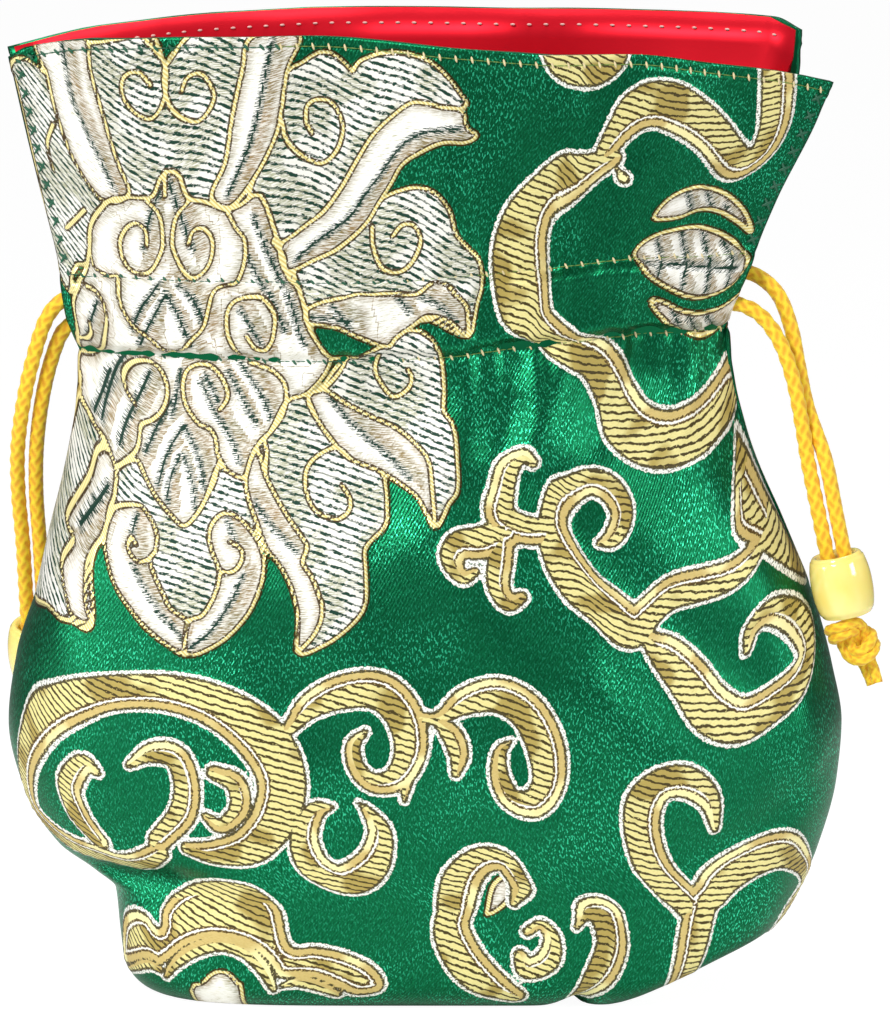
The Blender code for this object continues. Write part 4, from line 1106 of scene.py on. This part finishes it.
def braid_material(name, colour):
    """Braided yarn: painted light on the yarns' backs, painted shade in deep orange between them, with
    fine fibres.
    """
    finish = new_material(name, colour, 0.62)
    net = Net(finish.node_tree)
    shader = finish.node_tree.nodes["Principled BSDF"]
    place = net.node("ShaderNodeUVMap", uv_map="cord").outputs[0]
    yarn = net.field("yarn")
    fibre = net.noise(net.turned(place, 0, (3.0, 3.0)), 2.2, 3.0, 0.7)
    # deep is the painted shade between the yarns, bright the painted light on their backs, mixed by yarn
    # height
    deep = (colour[0] * 0.78, colour[1] * 0.44, 0.001)
    bright = (1.0, min(1.0, colour[1] * 1.25), 0.020)
    share = net.math("MULTIPLY_ADD", yarn, 0.9, net.times(fibre, 0.45), clamp=True)
    net.put(shader.inputs["Base Color"], net.mix(share, deep, bright))
    net.bumped(fibre, 0.4, 0.0001)
    shader.inputs["Sheen Weight"].default_value = 0.25
    shader.inputs["Sheen Roughness"].default_value = 0.5
    return finish


def bead_material(colour):
    finish = new_material("glossy_cream", colour, 0.12)
    net = Net(finish.node_tree)
    shader = finish.node_tree.nodes["Principled BSDF"]
    place = net.node("ShaderNodeTexCoord").outputs["Object"]
    cloud = net.noise(place, 260.0, 2.0)
    deep = (colour[0], colour[1] * 0.92, colour[2] * 0.7)
    net.put(shader.inputs["Base Color"], net.mix(cloud, deep, (1.0, 0.90, 0.34)))
    shader.inputs["Coat Weight"].default_value = 0.6
    shader.inputs["Coat Roughness"].default_value = 0.06
    shader.inputs["Subsurface Weight"].default_value = 0.15
    shader.inputs["Subsurface Scale"].default_value = 0.002
    return finish


def new_material(name, colour, roughness):
    made = bpy.data.materials.new(name)
    made.use_nodes = True
    shader = made.node_tree.nodes["Principled BSDF"]
    shader.inputs["Base Color"].default_value = (*colour[:3], 1.0)
    shader.inputs["Roughness"].default_value = roughness
    return made


# Sizes and colours


class PouchSettings(PropertyGroup):
    green: FloatVectorProperty(
        name="Ground", description="Colour of the satin ground", subtype="COLOR",
        default=(0.002, 0.135, 0.050), min=0.0, max=1.0,
    )
    red: FloatVectorProperty(
        name="Lining", description="Colour of the lining", subtype="COLOR",
        default=(0.46, 0.001, 0.007), min=0.0, max=1.0,
    )
    yellow: FloatVectorProperty(
        name="Cord", description="Colour of the cords", subtype="COLOR",
        default=(1.0, 0.58, 0.004), min=0.0, max=1.0,
    )
    cream: FloatVectorProperty(
        name="Bead", description="Colour of the beads", subtype="COLOR",
        default=(1.0, 0.80, 0.17), min=0.0, max=1.0,
    )
    columns: IntProperty(
        name="Columns", description="Mesh steps across each panel", default=260, min=40, max=400,
    )


def settings():
    return bpy.context.scene.pouch


# Pieces


def panel_surface(side):
    columns = settings().columns
    rows = cloth_rows(13, 14, 215, 78, BASE_EDGE_RADIUS)
    points = np.array([even_row(k, v, columns, side, 0.0, 0.0, False) for k, v in rows])
    return rows, points


def nearest_row(rows, height):
    walls = [row for row in rows if row[0] == "wall"]
    return min(walls, key=lambda row: abs(row[1] - height))


LAID = {}  # what the cloth operators leave for the stitches: surfaces and seam rows


class POUCH_OT_panels(Operator):
    """Makes the front and back brocade panels"""

    bl_idname = "pouch.panels"
    bl_label = "Brocade panels"

    def execute(self, context):
        finish = brocade_material(tuple(settings().green))
        for word, side in (("front", FRONT), ("back", BACK)):
            rows, points = panel_surface(side)
            normals = grid_normals(points, side)
            across, up = grid_lengths(points)
            if side == FRONT:
                onto = motif_on_cloth(points, normals, across, up)
                LAID["onto"] = onto
                places = np.stack([across.ravel(), up.ravel()], axis=1) * 1000
                fields = pattern_fields(places, onto)
                lift = fold_lift(places, onto).reshape(up.shape)
            else:
                fields = {
                    name: values.reshape(points.shape[:2])[:, ::-1].ravel()
                    for name, values in fields.items()
                }
                across = -across
                lift = lift[:, ::-1]
            seams = (CASING_LOW, CASING_HIGH)
            seam_rows = [rows.index(nearest_row(rows, height)) for height in seams]
            lift = lift + gather_lift(across, up, seam_rows)
            lift = lift * off_the_table(points)
            LAID[f"lift_{word}"] = (points, lift)
            points = points + normals * lift[:, :, None]
            normals = grid_normals(points, side)
            LAID[word] = (points, normals, up, seam_rows)
            points = raise_pattern(points, normals, fields)
            piece = cloth_piece(f"brocade_{word}", side, points, normals, PANEL_WALL, 5, finish)
            keep_fields(piece, fields, across, up, points.shape[0] * points.shape[1])
            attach(piece, "pouch")
            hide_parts(f"{word}_panel")
        return {"FINISHED"}


class POUCH_OT_lining(Operator):
    """Makes the red satin lining of both halves"""

    bl_idname = "pouch.lining"
    bl_label = "Lining"

    def execute(self, context):
        finish = lining_material(tuple(settings().red))
        for word, side in (("front", FRONT), ("back", BACK)):
            rows = cloth_rows(8, 8, 100, 40, BASE_EDGE_RADIUS, 0.998)
            points = []
            for kind, value in rows:
                near_rim = smooth_step((value - 0.55) / 0.4) if kind == "flap" else 0.0
                here = PANEL_WALL + LAYER_GAP * (1.0 - 0.9 * near_rim)
                ends = here * (2.2 - 1.4 * near_rim)
                points.append(even_row(kind, value, 130, side, here, ends, True))
            points = np.array(points)
            normals = grid_normals(points, side)
            across, up = grid_lengths(points)
            points = points + normals * same_lift(points, *LAID[f"lift_{word}"])[:, :, None]
            normals = grid_normals(points, side)
            LAID[f"lining_{word}"] = (points, normals, up, [])
            piece = cloth_piece(f"satin_{word}", side, points, normals, LINING_WALL, 5, finish)
            set_cloth_uv(piece, across, up, up.size)
            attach(piece, "pouch")
            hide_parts(f"lining_{word}")
        return {"FINISHED"}


STITCHES = {
    "pale_ticks": {"Pitch": 0.0022, "Length": 0.00105, "Width": 0.00034, "Skew": 1.25},
    "pale_thread": {"Pitch": 0.0011, "Length": 0.0012, "Width": 0.00014},
    "green_ticks": {"Pitch": 0.0021, "Length": 0.0012, "Width": 0.00040, "Skew": 0.9},
    "green_thread": {"Pitch": 0.0011, "Length": 0.0012, "Width": 0.00018},
    "side_crosses": {"Pitch": 0.0024, "Length": 0.0021, "Width": 0.00042, "Skew": 0.75},
    "side_crosses_back": {"Pitch": 0.0024, "Length": 0.0021, "Width": 0.00042, "Skew": -0.75},
    "red_stitches": {"Pitch": 0.0023, "Length": 0.0007, "Width": 0.00034},
}
STITCH_ROW_LIFT, HEM_LIFT, SIDE_LIFT = 0.00012, 0.00022, 0.0002
LINING_STITCH_IN = 0.0022
ROW_ENDS = slice(4, -4)  # the rows stop short of the side seams


def stitch_tree():
    """Stitches along a path: one rounded thread end to end every pitch, turned to follow it."""
    tree = bpy.data.node_groups.new("stitches_along_path", "GeometryNodeTree")
    face = tree.interface
    face.new_socket("Geometry", in_out="INPUT", socket_type="NodeSocketGeometry")
    for name in ("Pitch", "Length", "Width", "Skew"):
        face.new_socket(name, in_out="INPUT", socket_type="NodeSocketFloat")
    face.new_socket("Thread", in_out="INPUT", socket_type="NodeSocketMaterial")
    face.new_socket("Geometry", in_out="OUTPUT", socket_type="NodeSocketGeometry")
    net = Net(tree)
    given = net.node("NodeGroupInput").outputs
    path = net.node("GeometryNodeMeshToCurve")
    net.link(given["Geometry"], path.inputs[0])
    spaced = net.node("GeometryNodeResampleCurve", mode="LENGTH")
    net.link(path.outputs[0], spaced.inputs["Curve"])
    net.link(given["Pitch"], spaced.inputs["Length"])
    ball = net.node("GeometryNodeMeshUVSphere")
    ball.inputs["Segments"].default_value = 8
    ball.inputs["Rings"].default_value = 6
    ball.inputs["Radius"].default_value = 0.5
    shape = net.node("GeometryNodeTransform")
    size = net.node("ShaderNodeCombineXYZ")
    net.link(given["Length"], size.inputs[0])
    net.link(given["Width"], size.inputs[1])
    net.link(given["Width"], size.inputs[2])
    net.link(ball.outputs["Mesh"], shape.inputs["Geometry"])
    net.link(size.outputs[0], shape.inputs["Scale"])
    soft = net.node("GeometryNodeSetShadeSmooth")
    net.link(shape.outputs[0], soft.inputs[0])
    facing = net.node("FunctionNodeAlignRotationToVector", axis="X")
    tangent = net.node("GeometryNodeInputTangent")
    net.link(tangent.outputs[0], facing.inputs["Vector"])
    skewed = net.node("FunctionNodeRotateRotation", rotation_space="LOCAL")
    net.link(facing.outputs[0], skewed.inputs[0])
    turn = net.node("FunctionNodeAxisAngleToRotation")
    turn.inputs["Axis"].default_value = (0.0, 1.0, 0.0)
    net.link(given["Skew"], turn.inputs["Angle"])
    net.link(turn.outputs[0], skewed.inputs[1])
    laid = net.node("GeometryNodeInstanceOnPoints")
    net.link(spaced.outputs[0], laid.inputs["Points"])
    net.link(soft.outputs[0], laid.inputs["Instance"])
    net.link(skewed.outputs[0], laid.inputs["Rotation"])
    real = net.node("GeometryNodeRealizeInstances")
    net.link(laid.outputs[0], real.inputs[0])
    dressed = net.node("GeometryNodeSetMaterial")
    net.link(real.outputs[0], dressed.inputs["Geometry"])
    net.link(given["Thread"], dressed.inputs["Material"])
    net.link(dressed.outputs[0], net.node("NodeGroupOutput").inputs[0])
    return tree


def socket_id(tree, name):
    sockets = tree.interface.items_tree
    return next(s.identifier for s in sockets if s.name == name and s.in_out == "INPUT")


def sewn(name, lines, tree, thread, **sizes):
    """Stitches along the lines, as one plain mesh that rides with the pouch."""
    points, edges = [], []
    for line in lines:
        edges += [(len(points) + k, len(points) + k + 1) for k in range(len(line) - 1)]
        points += [tuple(p) for p in line]
    mesh = bpy.data.meshes.new(f"{name}_path")
    mesh.from_pydata(points, edges, [])
    guide = bpy.data.objects.new(f"{name}_path", mesh)
    bpy.context.scene.collection.objects.link(guide)
    made = guide.modifiers.new("stitches", "NODES")
    made.node_group = tree
    made[socket_id(tree, "Thread")] = thread
    for word, value in sizes.items():
        made[socket_id(tree, word)] = float(value)
    graph = bpy.context.evaluated_depsgraph_get()
    result = bpy.data.meshes.new_from_object(guide.evaluated_get(graph))
    result.name = name
    bpy.data.objects.remove(guide, do_unlink=True)
    if not result.polygons:
        raise RuntimeError(f"{name} has no stitches")
    piece = bpy.data.objects.new(name, result)
    bpy.context.scene.collection.objects.link(piece)
    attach(piece, "pouch")
    return piece


class POUCH_OT_stitches(Operator):
    """Sews the hems, the casing's rows and the flaps' sides"""

    bl_idname = "pouch.stitches"
    bl_label = "Stitches"

    def execute(self, context):
        tree = stitch_tree()
        pale = thread_material("pale_thread", (0.95, 0.80, 0.45))
        dark = thread_material("green_thread", (0.015, 0.13, 0.065))
        dull = thread_material("gold_green_thread", (0.20, 0.34, 0.06))
        red = thread_material("rose_thread", (0.90, 0.55, 0.50))
        for word in ("front", "back"):
            points, normals, up, seam_rows = LAID[word]
            low, high = (
                level_line(points, normals, up, up[row], STITCH_ROW_LIFT)[ROW_ENDS]
                for row in seam_rows
            )
            hem = level_line(points, normals, up, up[-1] - HEM_STITCH_IN, HEM_LIFT)[ROW_ENDS]
            light, deep = [low, high], [hem]
            if word == "front":
                third = len(hem) // 3
                half = third * 3 // 2
                light = [low[half:], high[half:], hem[third:]]
                deep = [low[:half], high[:half], hem[:third]]
            flap = slice(seam_rows[1] + 6, -8)
            by_seams = (4, points.shape[1] - 5)
            sides = [points[flap, k] + normals[flap, k] * SIDE_LIFT for k in by_seams]
            for name, lines, thread in (
                ("pale_ticks", light, pale), ("pale_thread", light, dull),
                ("green_ticks", deep, dark), ("green_thread", deep, dark),
                ("side_crosses", sides, dark), ("side_crosses_back", sides, dark),
            ):
                sewn(f"{name}_{word}", lines, tree, thread, **STITCHES[name])
        for word in ("front", "back"):
            points, normals, up, _ = LAID[f"lining_{word}"]
            level = up[-1] - LINING_STITCH_IN
            seam = level_line(points, -normals, up, level, LINING_WALL + STITCH_ROW_LIFT)[ROW_ENDS]
            sewn(f"red_stitches_{word}", [seam], tree, red, **STITCHES["red_stitches"])
        return {"FINISHED"}


def curve_line(route, spacing):
    """Points along a smooth curve through the route, about spacing apart."""
    fine = smooth_line([tuple(point) for point in route], False, 16)
    lengths = np.concatenate([[0.0], np.cumsum(np.linalg.norm(np.diff(fine, axis=0), axis=1))])
    stops = np.linspace(0.0, lengths[-1], max(2, round(lengths[-1] / spacing) + 1))
    return np.stack([np.interp(stops, lengths, fine[:, k]) for k in range(3)], axis=1)


def path_frames(line):
    """Two directions square to the path at each point, turning as little as possible along it."""
    ahead = np.gradient(line, axis=0)
    ahead /= np.linalg.norm(ahead, axis=1, keepdims=True)
    first = np.cross(ahead[0], (0.0, 1.0, 0.0))
    first /= np.linalg.norm(first)
    one = [first]
    for tangent in ahead[1:]:
        turned = one[-1] - tangent * np.dot(one[-1], tangent)
        one.append(turned / np.linalg.norm(turned))
    one = np.array(one)
    return one, np.cross(ahead, one)


def braid_tube(name, line, diameter, sides, plait, finish):
    """A braided cord: a closed tube with the yarns of the plait standing out of its surface."""
    one, two = path_frames(line)
    run = np.concatenate([[0.0], np.cumsum(np.linalg.norm(np.diff(line, axis=0), axis=1))])
    angle = np.linspace(0.0, 2 * math.pi, sides, endpoint=False)
    turn, along = np.meshgrid(angle, run * 2 * math.pi / plait)
    left, right = 4 * turn + along, 4 * turn - along
    one_way, other_way = np.cos(left / 2) ** 2, np.cos(right / 2) ** 2
    over = smooth_step(0.5 + 0.9 * np.sin(left / 2) * np.sin(right / 2))
    yarn = over * one_way + (1.0 - over) * other_way
    radius = diameter / 2 * (0.84 + 0.16 * yarn)
    points = (
        line[:, None, :]
        + one[:, None, :] * (radius * np.cos(turn))[:, :, None]
        + two[:, None, :] * (radius * np.sin(turn))[:, :, None]
    )
    count = len(line)
    at = np.arange(count * sides).reshape(count, sides)
    nxt = np.roll(at, -1, axis=1)
    faces = np.stack([at[:-1], nxt[:-1], nxt[1:], at[1:]], axis=-1).reshape(-1, 4).tolist()
    faces += [at[0, ::-1].tolist(), at[-1].tolist()]
    piece = mesh_piece(name, points.reshape(-1, 3), faces, finish)
    mesh = piece.data
    stored = mesh.attributes.new("yarn", "FLOAT", "POINT")
    stored.data.foreach_set("value", yarn.ravel().astype(np.float32))
    layer = mesh.uv_layers.new(name="cord")
    corner = np.empty(len(mesh.loops), np.int32)
    mesh.loops.foreach_get("vertex_index", corner)
    down = np.broadcast_to(run[:, None] * 1000, turn.shape)
    flat = np.stack([turn * diameter * 500, down], axis=-1)
    layer.data.foreach_set("uv", flat.reshape(-1, 2)[corner].ravel().astype(np.float32))
    return piece


def joined(name, pieces):
    """One piece from several tubes."""
    with bpy.context.temp_override(active_object=pieces[0], selected_editable_objects=pieces):
        bpy.ops.object.join()
    pieces[0].name = name
    return pieces[0]


def axes_on(up):
    back = Vector((0.0, 1.0, 0.0))
    across = back.cross(up).normalized()
    return across, up.cross(across)


def strand(centre, up, across):
    low = centre - up * (BEAD_LENGTH / 2 + BEAD_ON_KNOT_GAP)
    return [low + up * STRAIGHT_REACH * k / 3 + across * STRAND_SPACING / 2 for k in range(4)]


SIDES = (
    ("right", BEAD_RIGHT_CENTRE, BEAD_RIGHT_UP, RIGHT_ROUTE),
    ("left", BEAD_LEFT_CENTRE, BEAD_LEFT_UP, LEFT_ROUTE),
)


class POUCH_OT_cords(Operator):
    """Makes the two braided cords"""

    bl_idname = "pouch.cords"
    bl_label = "Cords"

    def execute(self, context):
        finish = braid_material("yellow_braid", tuple(settings().yellow))
        for word, centre, up, route in SIDES:
            across, _ = axes_on(up)
            first = strand(centre, up, -across)
            last = strand(centre, up, across)
            line = curve_line(first + [Vector(p) for p in route] + last[::-1], CORD_STEP)
            line = line + STAND_AT
            piece = braid_tube(f"cord_{word}", line, CORD_DIAMETER, 24, CORD_PLAIT, finish)
            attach(piece, "pouch")
            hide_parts(f"drawstring_{word}")
        return {"FINISHED"}


class POUCH_OT_knots(Operator):
    """Makes the knots that join each cord's two ends"""

    bl_idname = "pouch.knots"
    bl_label = "Knots"

    def execute(self, context):
        finish = braid_material("yellow_knot", tuple(settings().yellow))
        for word, centre, up, _ in SIDES:
            across, back = axes_on(up)
            middle = centre - up * (BEAD_LENGTH / 2 + BEAD_ON_KNOT_GAP + KNOT_TOP)
            route = [middle + across * x + back * y + up * z for x, y, z in KNOT_ROUTE]
            route = [middle + (p - middle) * KNOT_SIZE for p in route]
            line = curve_line(route, KNOT_STEP) + STAND_AT
            one, two = path_frames(line)
            halves = []
            for k, turn in enumerate((0.0, math.pi)):
                spin = turn + np.linspace(0.0, KNOT_TWIST, len(line))[:, None]
                offset = one * np.cos(spin) + two * np.sin(spin)
                strand_line = line + offset * KNOT_STRAND_OFFSET
                halves.append(braid_tube(
                    f"half_{k}", strand_line, KNOT_STRAND_DIAMETER, 18, KNOT_PLAIT, finish))
            piece = joined(f"tied_{word}", halves)
            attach(piece, "pouch")
            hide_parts(f"knot_{word}")
        return {"FINISHED"}


def bead_profile():
    """Radius and height round the bead's section: the bore's two ends, rounded lips, the barrel."""
    half, bore = BEAD_LENGTH / 2, BEAD_BORE / 2
    end, middle = BEAD_END_DIAMETER / 2, BEAD_DIAMETER / 2
    lip = []
    for angle in (math.pi * k / 6 for k in range(7)):
        radius = (bore + end) / 2 - (end - bore) / 2 * math.cos(angle)
        lip.append((radius, half - BEAD_LIP * (1 - math.sin(angle))))
    barrel = [
        (middle - (middle - end) * abs(share) ** 2.2, share * half)
        for share in np.linspace(-0.86, 0.86, 17)
    ]
    into_bore = [(bore, half - BEAD_LIP), (bore, half - 2 * BEAD_LIP)]
    lower = [(radius, -height) for radius, height in into_bore[::-1] + lip]
    return lower + barrel + lip[::-1] + into_bore


class POUCH_OT_beads(Operator):
    """Makes the two glossy barrel beads"""

    bl_idname = "pouch.beads"
    bl_label = "Beads"

    def execute(self, context):
        finish = bead_material(tuple(settings().cream))
        profile = bead_profile()
        for word, centre, up, _ in SIDES:
            turn = up.to_track_quat("Z", "Y")
            points = []
            for k in range(BEAD_SIDES):
                a = 2 * math.pi * k / BEAD_SIDES
                for r, z in profile:
                    spot = turn @ Vector((r * math.cos(a), r * math.sin(a), z))
                    points.append(spot + centre + Vector(STAND_AT))
            n = len(profile)
            faces = []
            for k in range(BEAD_SIDES):
                a, b = k * n, (k + 1) % BEAD_SIDES * n
                for j in range(n):
                    faces.append([a + j, b + j, b + (j + 1) % n, a + (j + 1) % n])
            piece = mesh_piece(f"barrel_{word}", points, faces, finish)
            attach(piece, f"bead_{word}")
            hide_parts(f"bead_{word}")
        return {"FINISHED"}


class POUCH_OT_stage(Operator):
    """Sets the floor, the lights, the world and the camera"""

    bl_idname = "pouch.stage"
    bl_label = "Stage"

    def execute(self, context):
        scene = context.scene
        scene.view_settings.view_transform = "Standard"
        mesh = bpy.data.meshes.new("floor")
        mesh.from_pydata([(-3, -3, 0), (3, -3, 0), (3, 3, 0), (-3, 3, 0)], [], [(0, 1, 2, 3)])
        floor = bpy.data.objects.new("floor", mesh)
        scene.collection.objects.link(floor)
        finish = new_material("floor_paint", (0.9, 0.9, 0.9), 0.6)
        mesh.materials.append(finish)
        tree = finish.node_tree
        glow = tree.nodes.new("ShaderNodeEmission")
        glow.inputs["Color"].default_value = (1.0, 1.0, 1.0, 1.0)
        mix = tree.nodes.new("ShaderNodeMixShader")
        seen = tree.nodes.new("ShaderNodeLightPath")
        share = tree.nodes.new("ShaderNodeMath")
        share.operation = "MULTIPLY"
        share.inputs[1].default_value = 0.80
        glow.inputs["Strength"].default_value = 1.20
        tree.links.new(seen.outputs["Is Camera Ray"], share.inputs[0])
        net = Net(tree)
        away = net.node("ShaderNodeVectorMath", operation="LENGTH")
        net.put(away.inputs[0], net.node("ShaderNodeTexCoord").outputs["Object"])
        # painted shade round the pouch: the floor is dark within 0.14 m of the middle, easing to near
        # white by 0.30 m
        near = net.within(away.outputs["Value"], 0.14, 0.30)
        painted_floor_shade = net.mix(near, (0.30, 0.30, 0.30), (0.95, 0.95, 0.95))
        net.put(tree.nodes["Principled BSDF"].inputs["Base Color"], painted_floor_shade)
        tree.links.new(share.outputs[0], mix.inputs["Fac"])
        tree.links.new(tree.nodes["Principled BSDF"].outputs[0], mix.inputs[1])
        tree.links.new(glow.outputs[0], mix.inputs[2])
        tree.links.new(mix.outputs[0], tree.nodes["Material Output"].inputs["Surface"])

        world = bpy.data.worlds.new("studio")
        scene.world = world
        world.use_nodes = True
        tree = world.node_tree
        tree.nodes.clear()
        output = tree.nodes.new("ShaderNodeOutputWorld")
        light = tree.nodes.new("ShaderNodeBackground")
        light.inputs["Strength"].default_value = 0.30
        white = tree.nodes.new("ShaderNodeBackground")
        seen = tree.nodes.new("ShaderNodeLightPath")
        either = tree.nodes.new("ShaderNodeMath")
        either.operation = "MAXIMUM"
        mix = tree.nodes.new("ShaderNodeMixShader")
        tree.links.new(seen.outputs["Is Camera Ray"], either.inputs[0])
        tree.links.new(seen.outputs["Is Transmission Ray"], either.inputs[1])
        tree.links.new(either.outputs[0], mix.inputs["Fac"])
        tree.links.new(light.outputs[0], mix.inputs[1])
        tree.links.new(white.outputs[0], mix.inputs[2])
        tree.links.new(mix.outputs[0], output.inputs["Surface"])

        for name, place, size, power in (
            ("key", (-0.40, -0.70, 0.70), 0.26, 6.6),
            ("left", (-0.75, -0.35, 0.20), 0.25, 1.8),
            ("fill", (0.75, -0.55, 0.35), 0.30, 3.2),
            ("top", (0.05, 0.10, 0.90), 0.30, 3.2),
        ):
            lamp = bpy.data.lights.new(name, "AREA")
            lamp.size, lamp.energy = size, power
            holder = bpy.data.objects.new(name, lamp)
            holder.location = place
            aim = Vector((0.0, 0.0, 0.06)) - Vector(place)
            holder.rotation_euler = aim.to_track_quat("-Z", "Y").to_euler()
            scene.collection.objects.link(holder)

        lens = bpy.data.cameras.new("camera")
        lens.sensor_fit = "VERTICAL"
        lens.sensor_height = 36.0
        lens.sensor_width = 36.0
        lens.lens = 36.0 * CAMERA_DISTANCE / FRAME_HEIGHT
        lens.clip_start, lens.clip_end = 0.05, 20.0
        camera = bpy.data.objects.new("camera", lens)
        ahead = Vector((0.0, math.cos(CAMERA_ELEVATION), -math.sin(CAMERA_ELEVATION)))
        camera.location = CAMERA_TARGET - ahead * CAMERA_DISTANCE
        camera.rotation_euler = ahead.to_track_quat("-Z", "Y").to_euler()
        scene.collection.objects.link(camera)
        scene.camera = camera
        return {"FINISHED"}


class POUCH_PT_sidebar(Panel):
    bl_idname = "POUCH_PT_sidebar"
    bl_label = "Drawstring pouch"
    bl_space_type = "VIEW_3D"
    bl_region_type = "UI"
    bl_category = "Pouch"

    def draw(self, context):
        layout = self.layout
        values = context.scene.pouch
        for field in ("green", "red", "yellow", "cream", "columns"):
            layout.prop(values, field)
        for step in STEPS:
            layout.operator(step.bl_idname)


STEPS = (
    POUCH_OT_stage, POUCH_OT_panels, POUCH_OT_lining, POUCH_OT_stitches,
    POUCH_OT_knots, POUCH_OT_beads, POUCH_OT_cords,
)
CLASSES = (PouchSettings, *STEPS, POUCH_PT_sidebar)


def register():
    for each in CLASSES:
        bpy.utils.register_class(each)
    bpy.types.Scene.pouch = PointerProperty(type=PouchSettings)


def unregister():
    del bpy.types.Scene.pouch
    for each in reversed(CLASSES):
        bpy.utils.unregister_class(each)


def main():
    register()
    for step in STEPS:
        area, name = step.bl_idname.split(".")
        getattr(getattr(bpy.ops, area), name)()


if __name__ == "__main__":
    main()
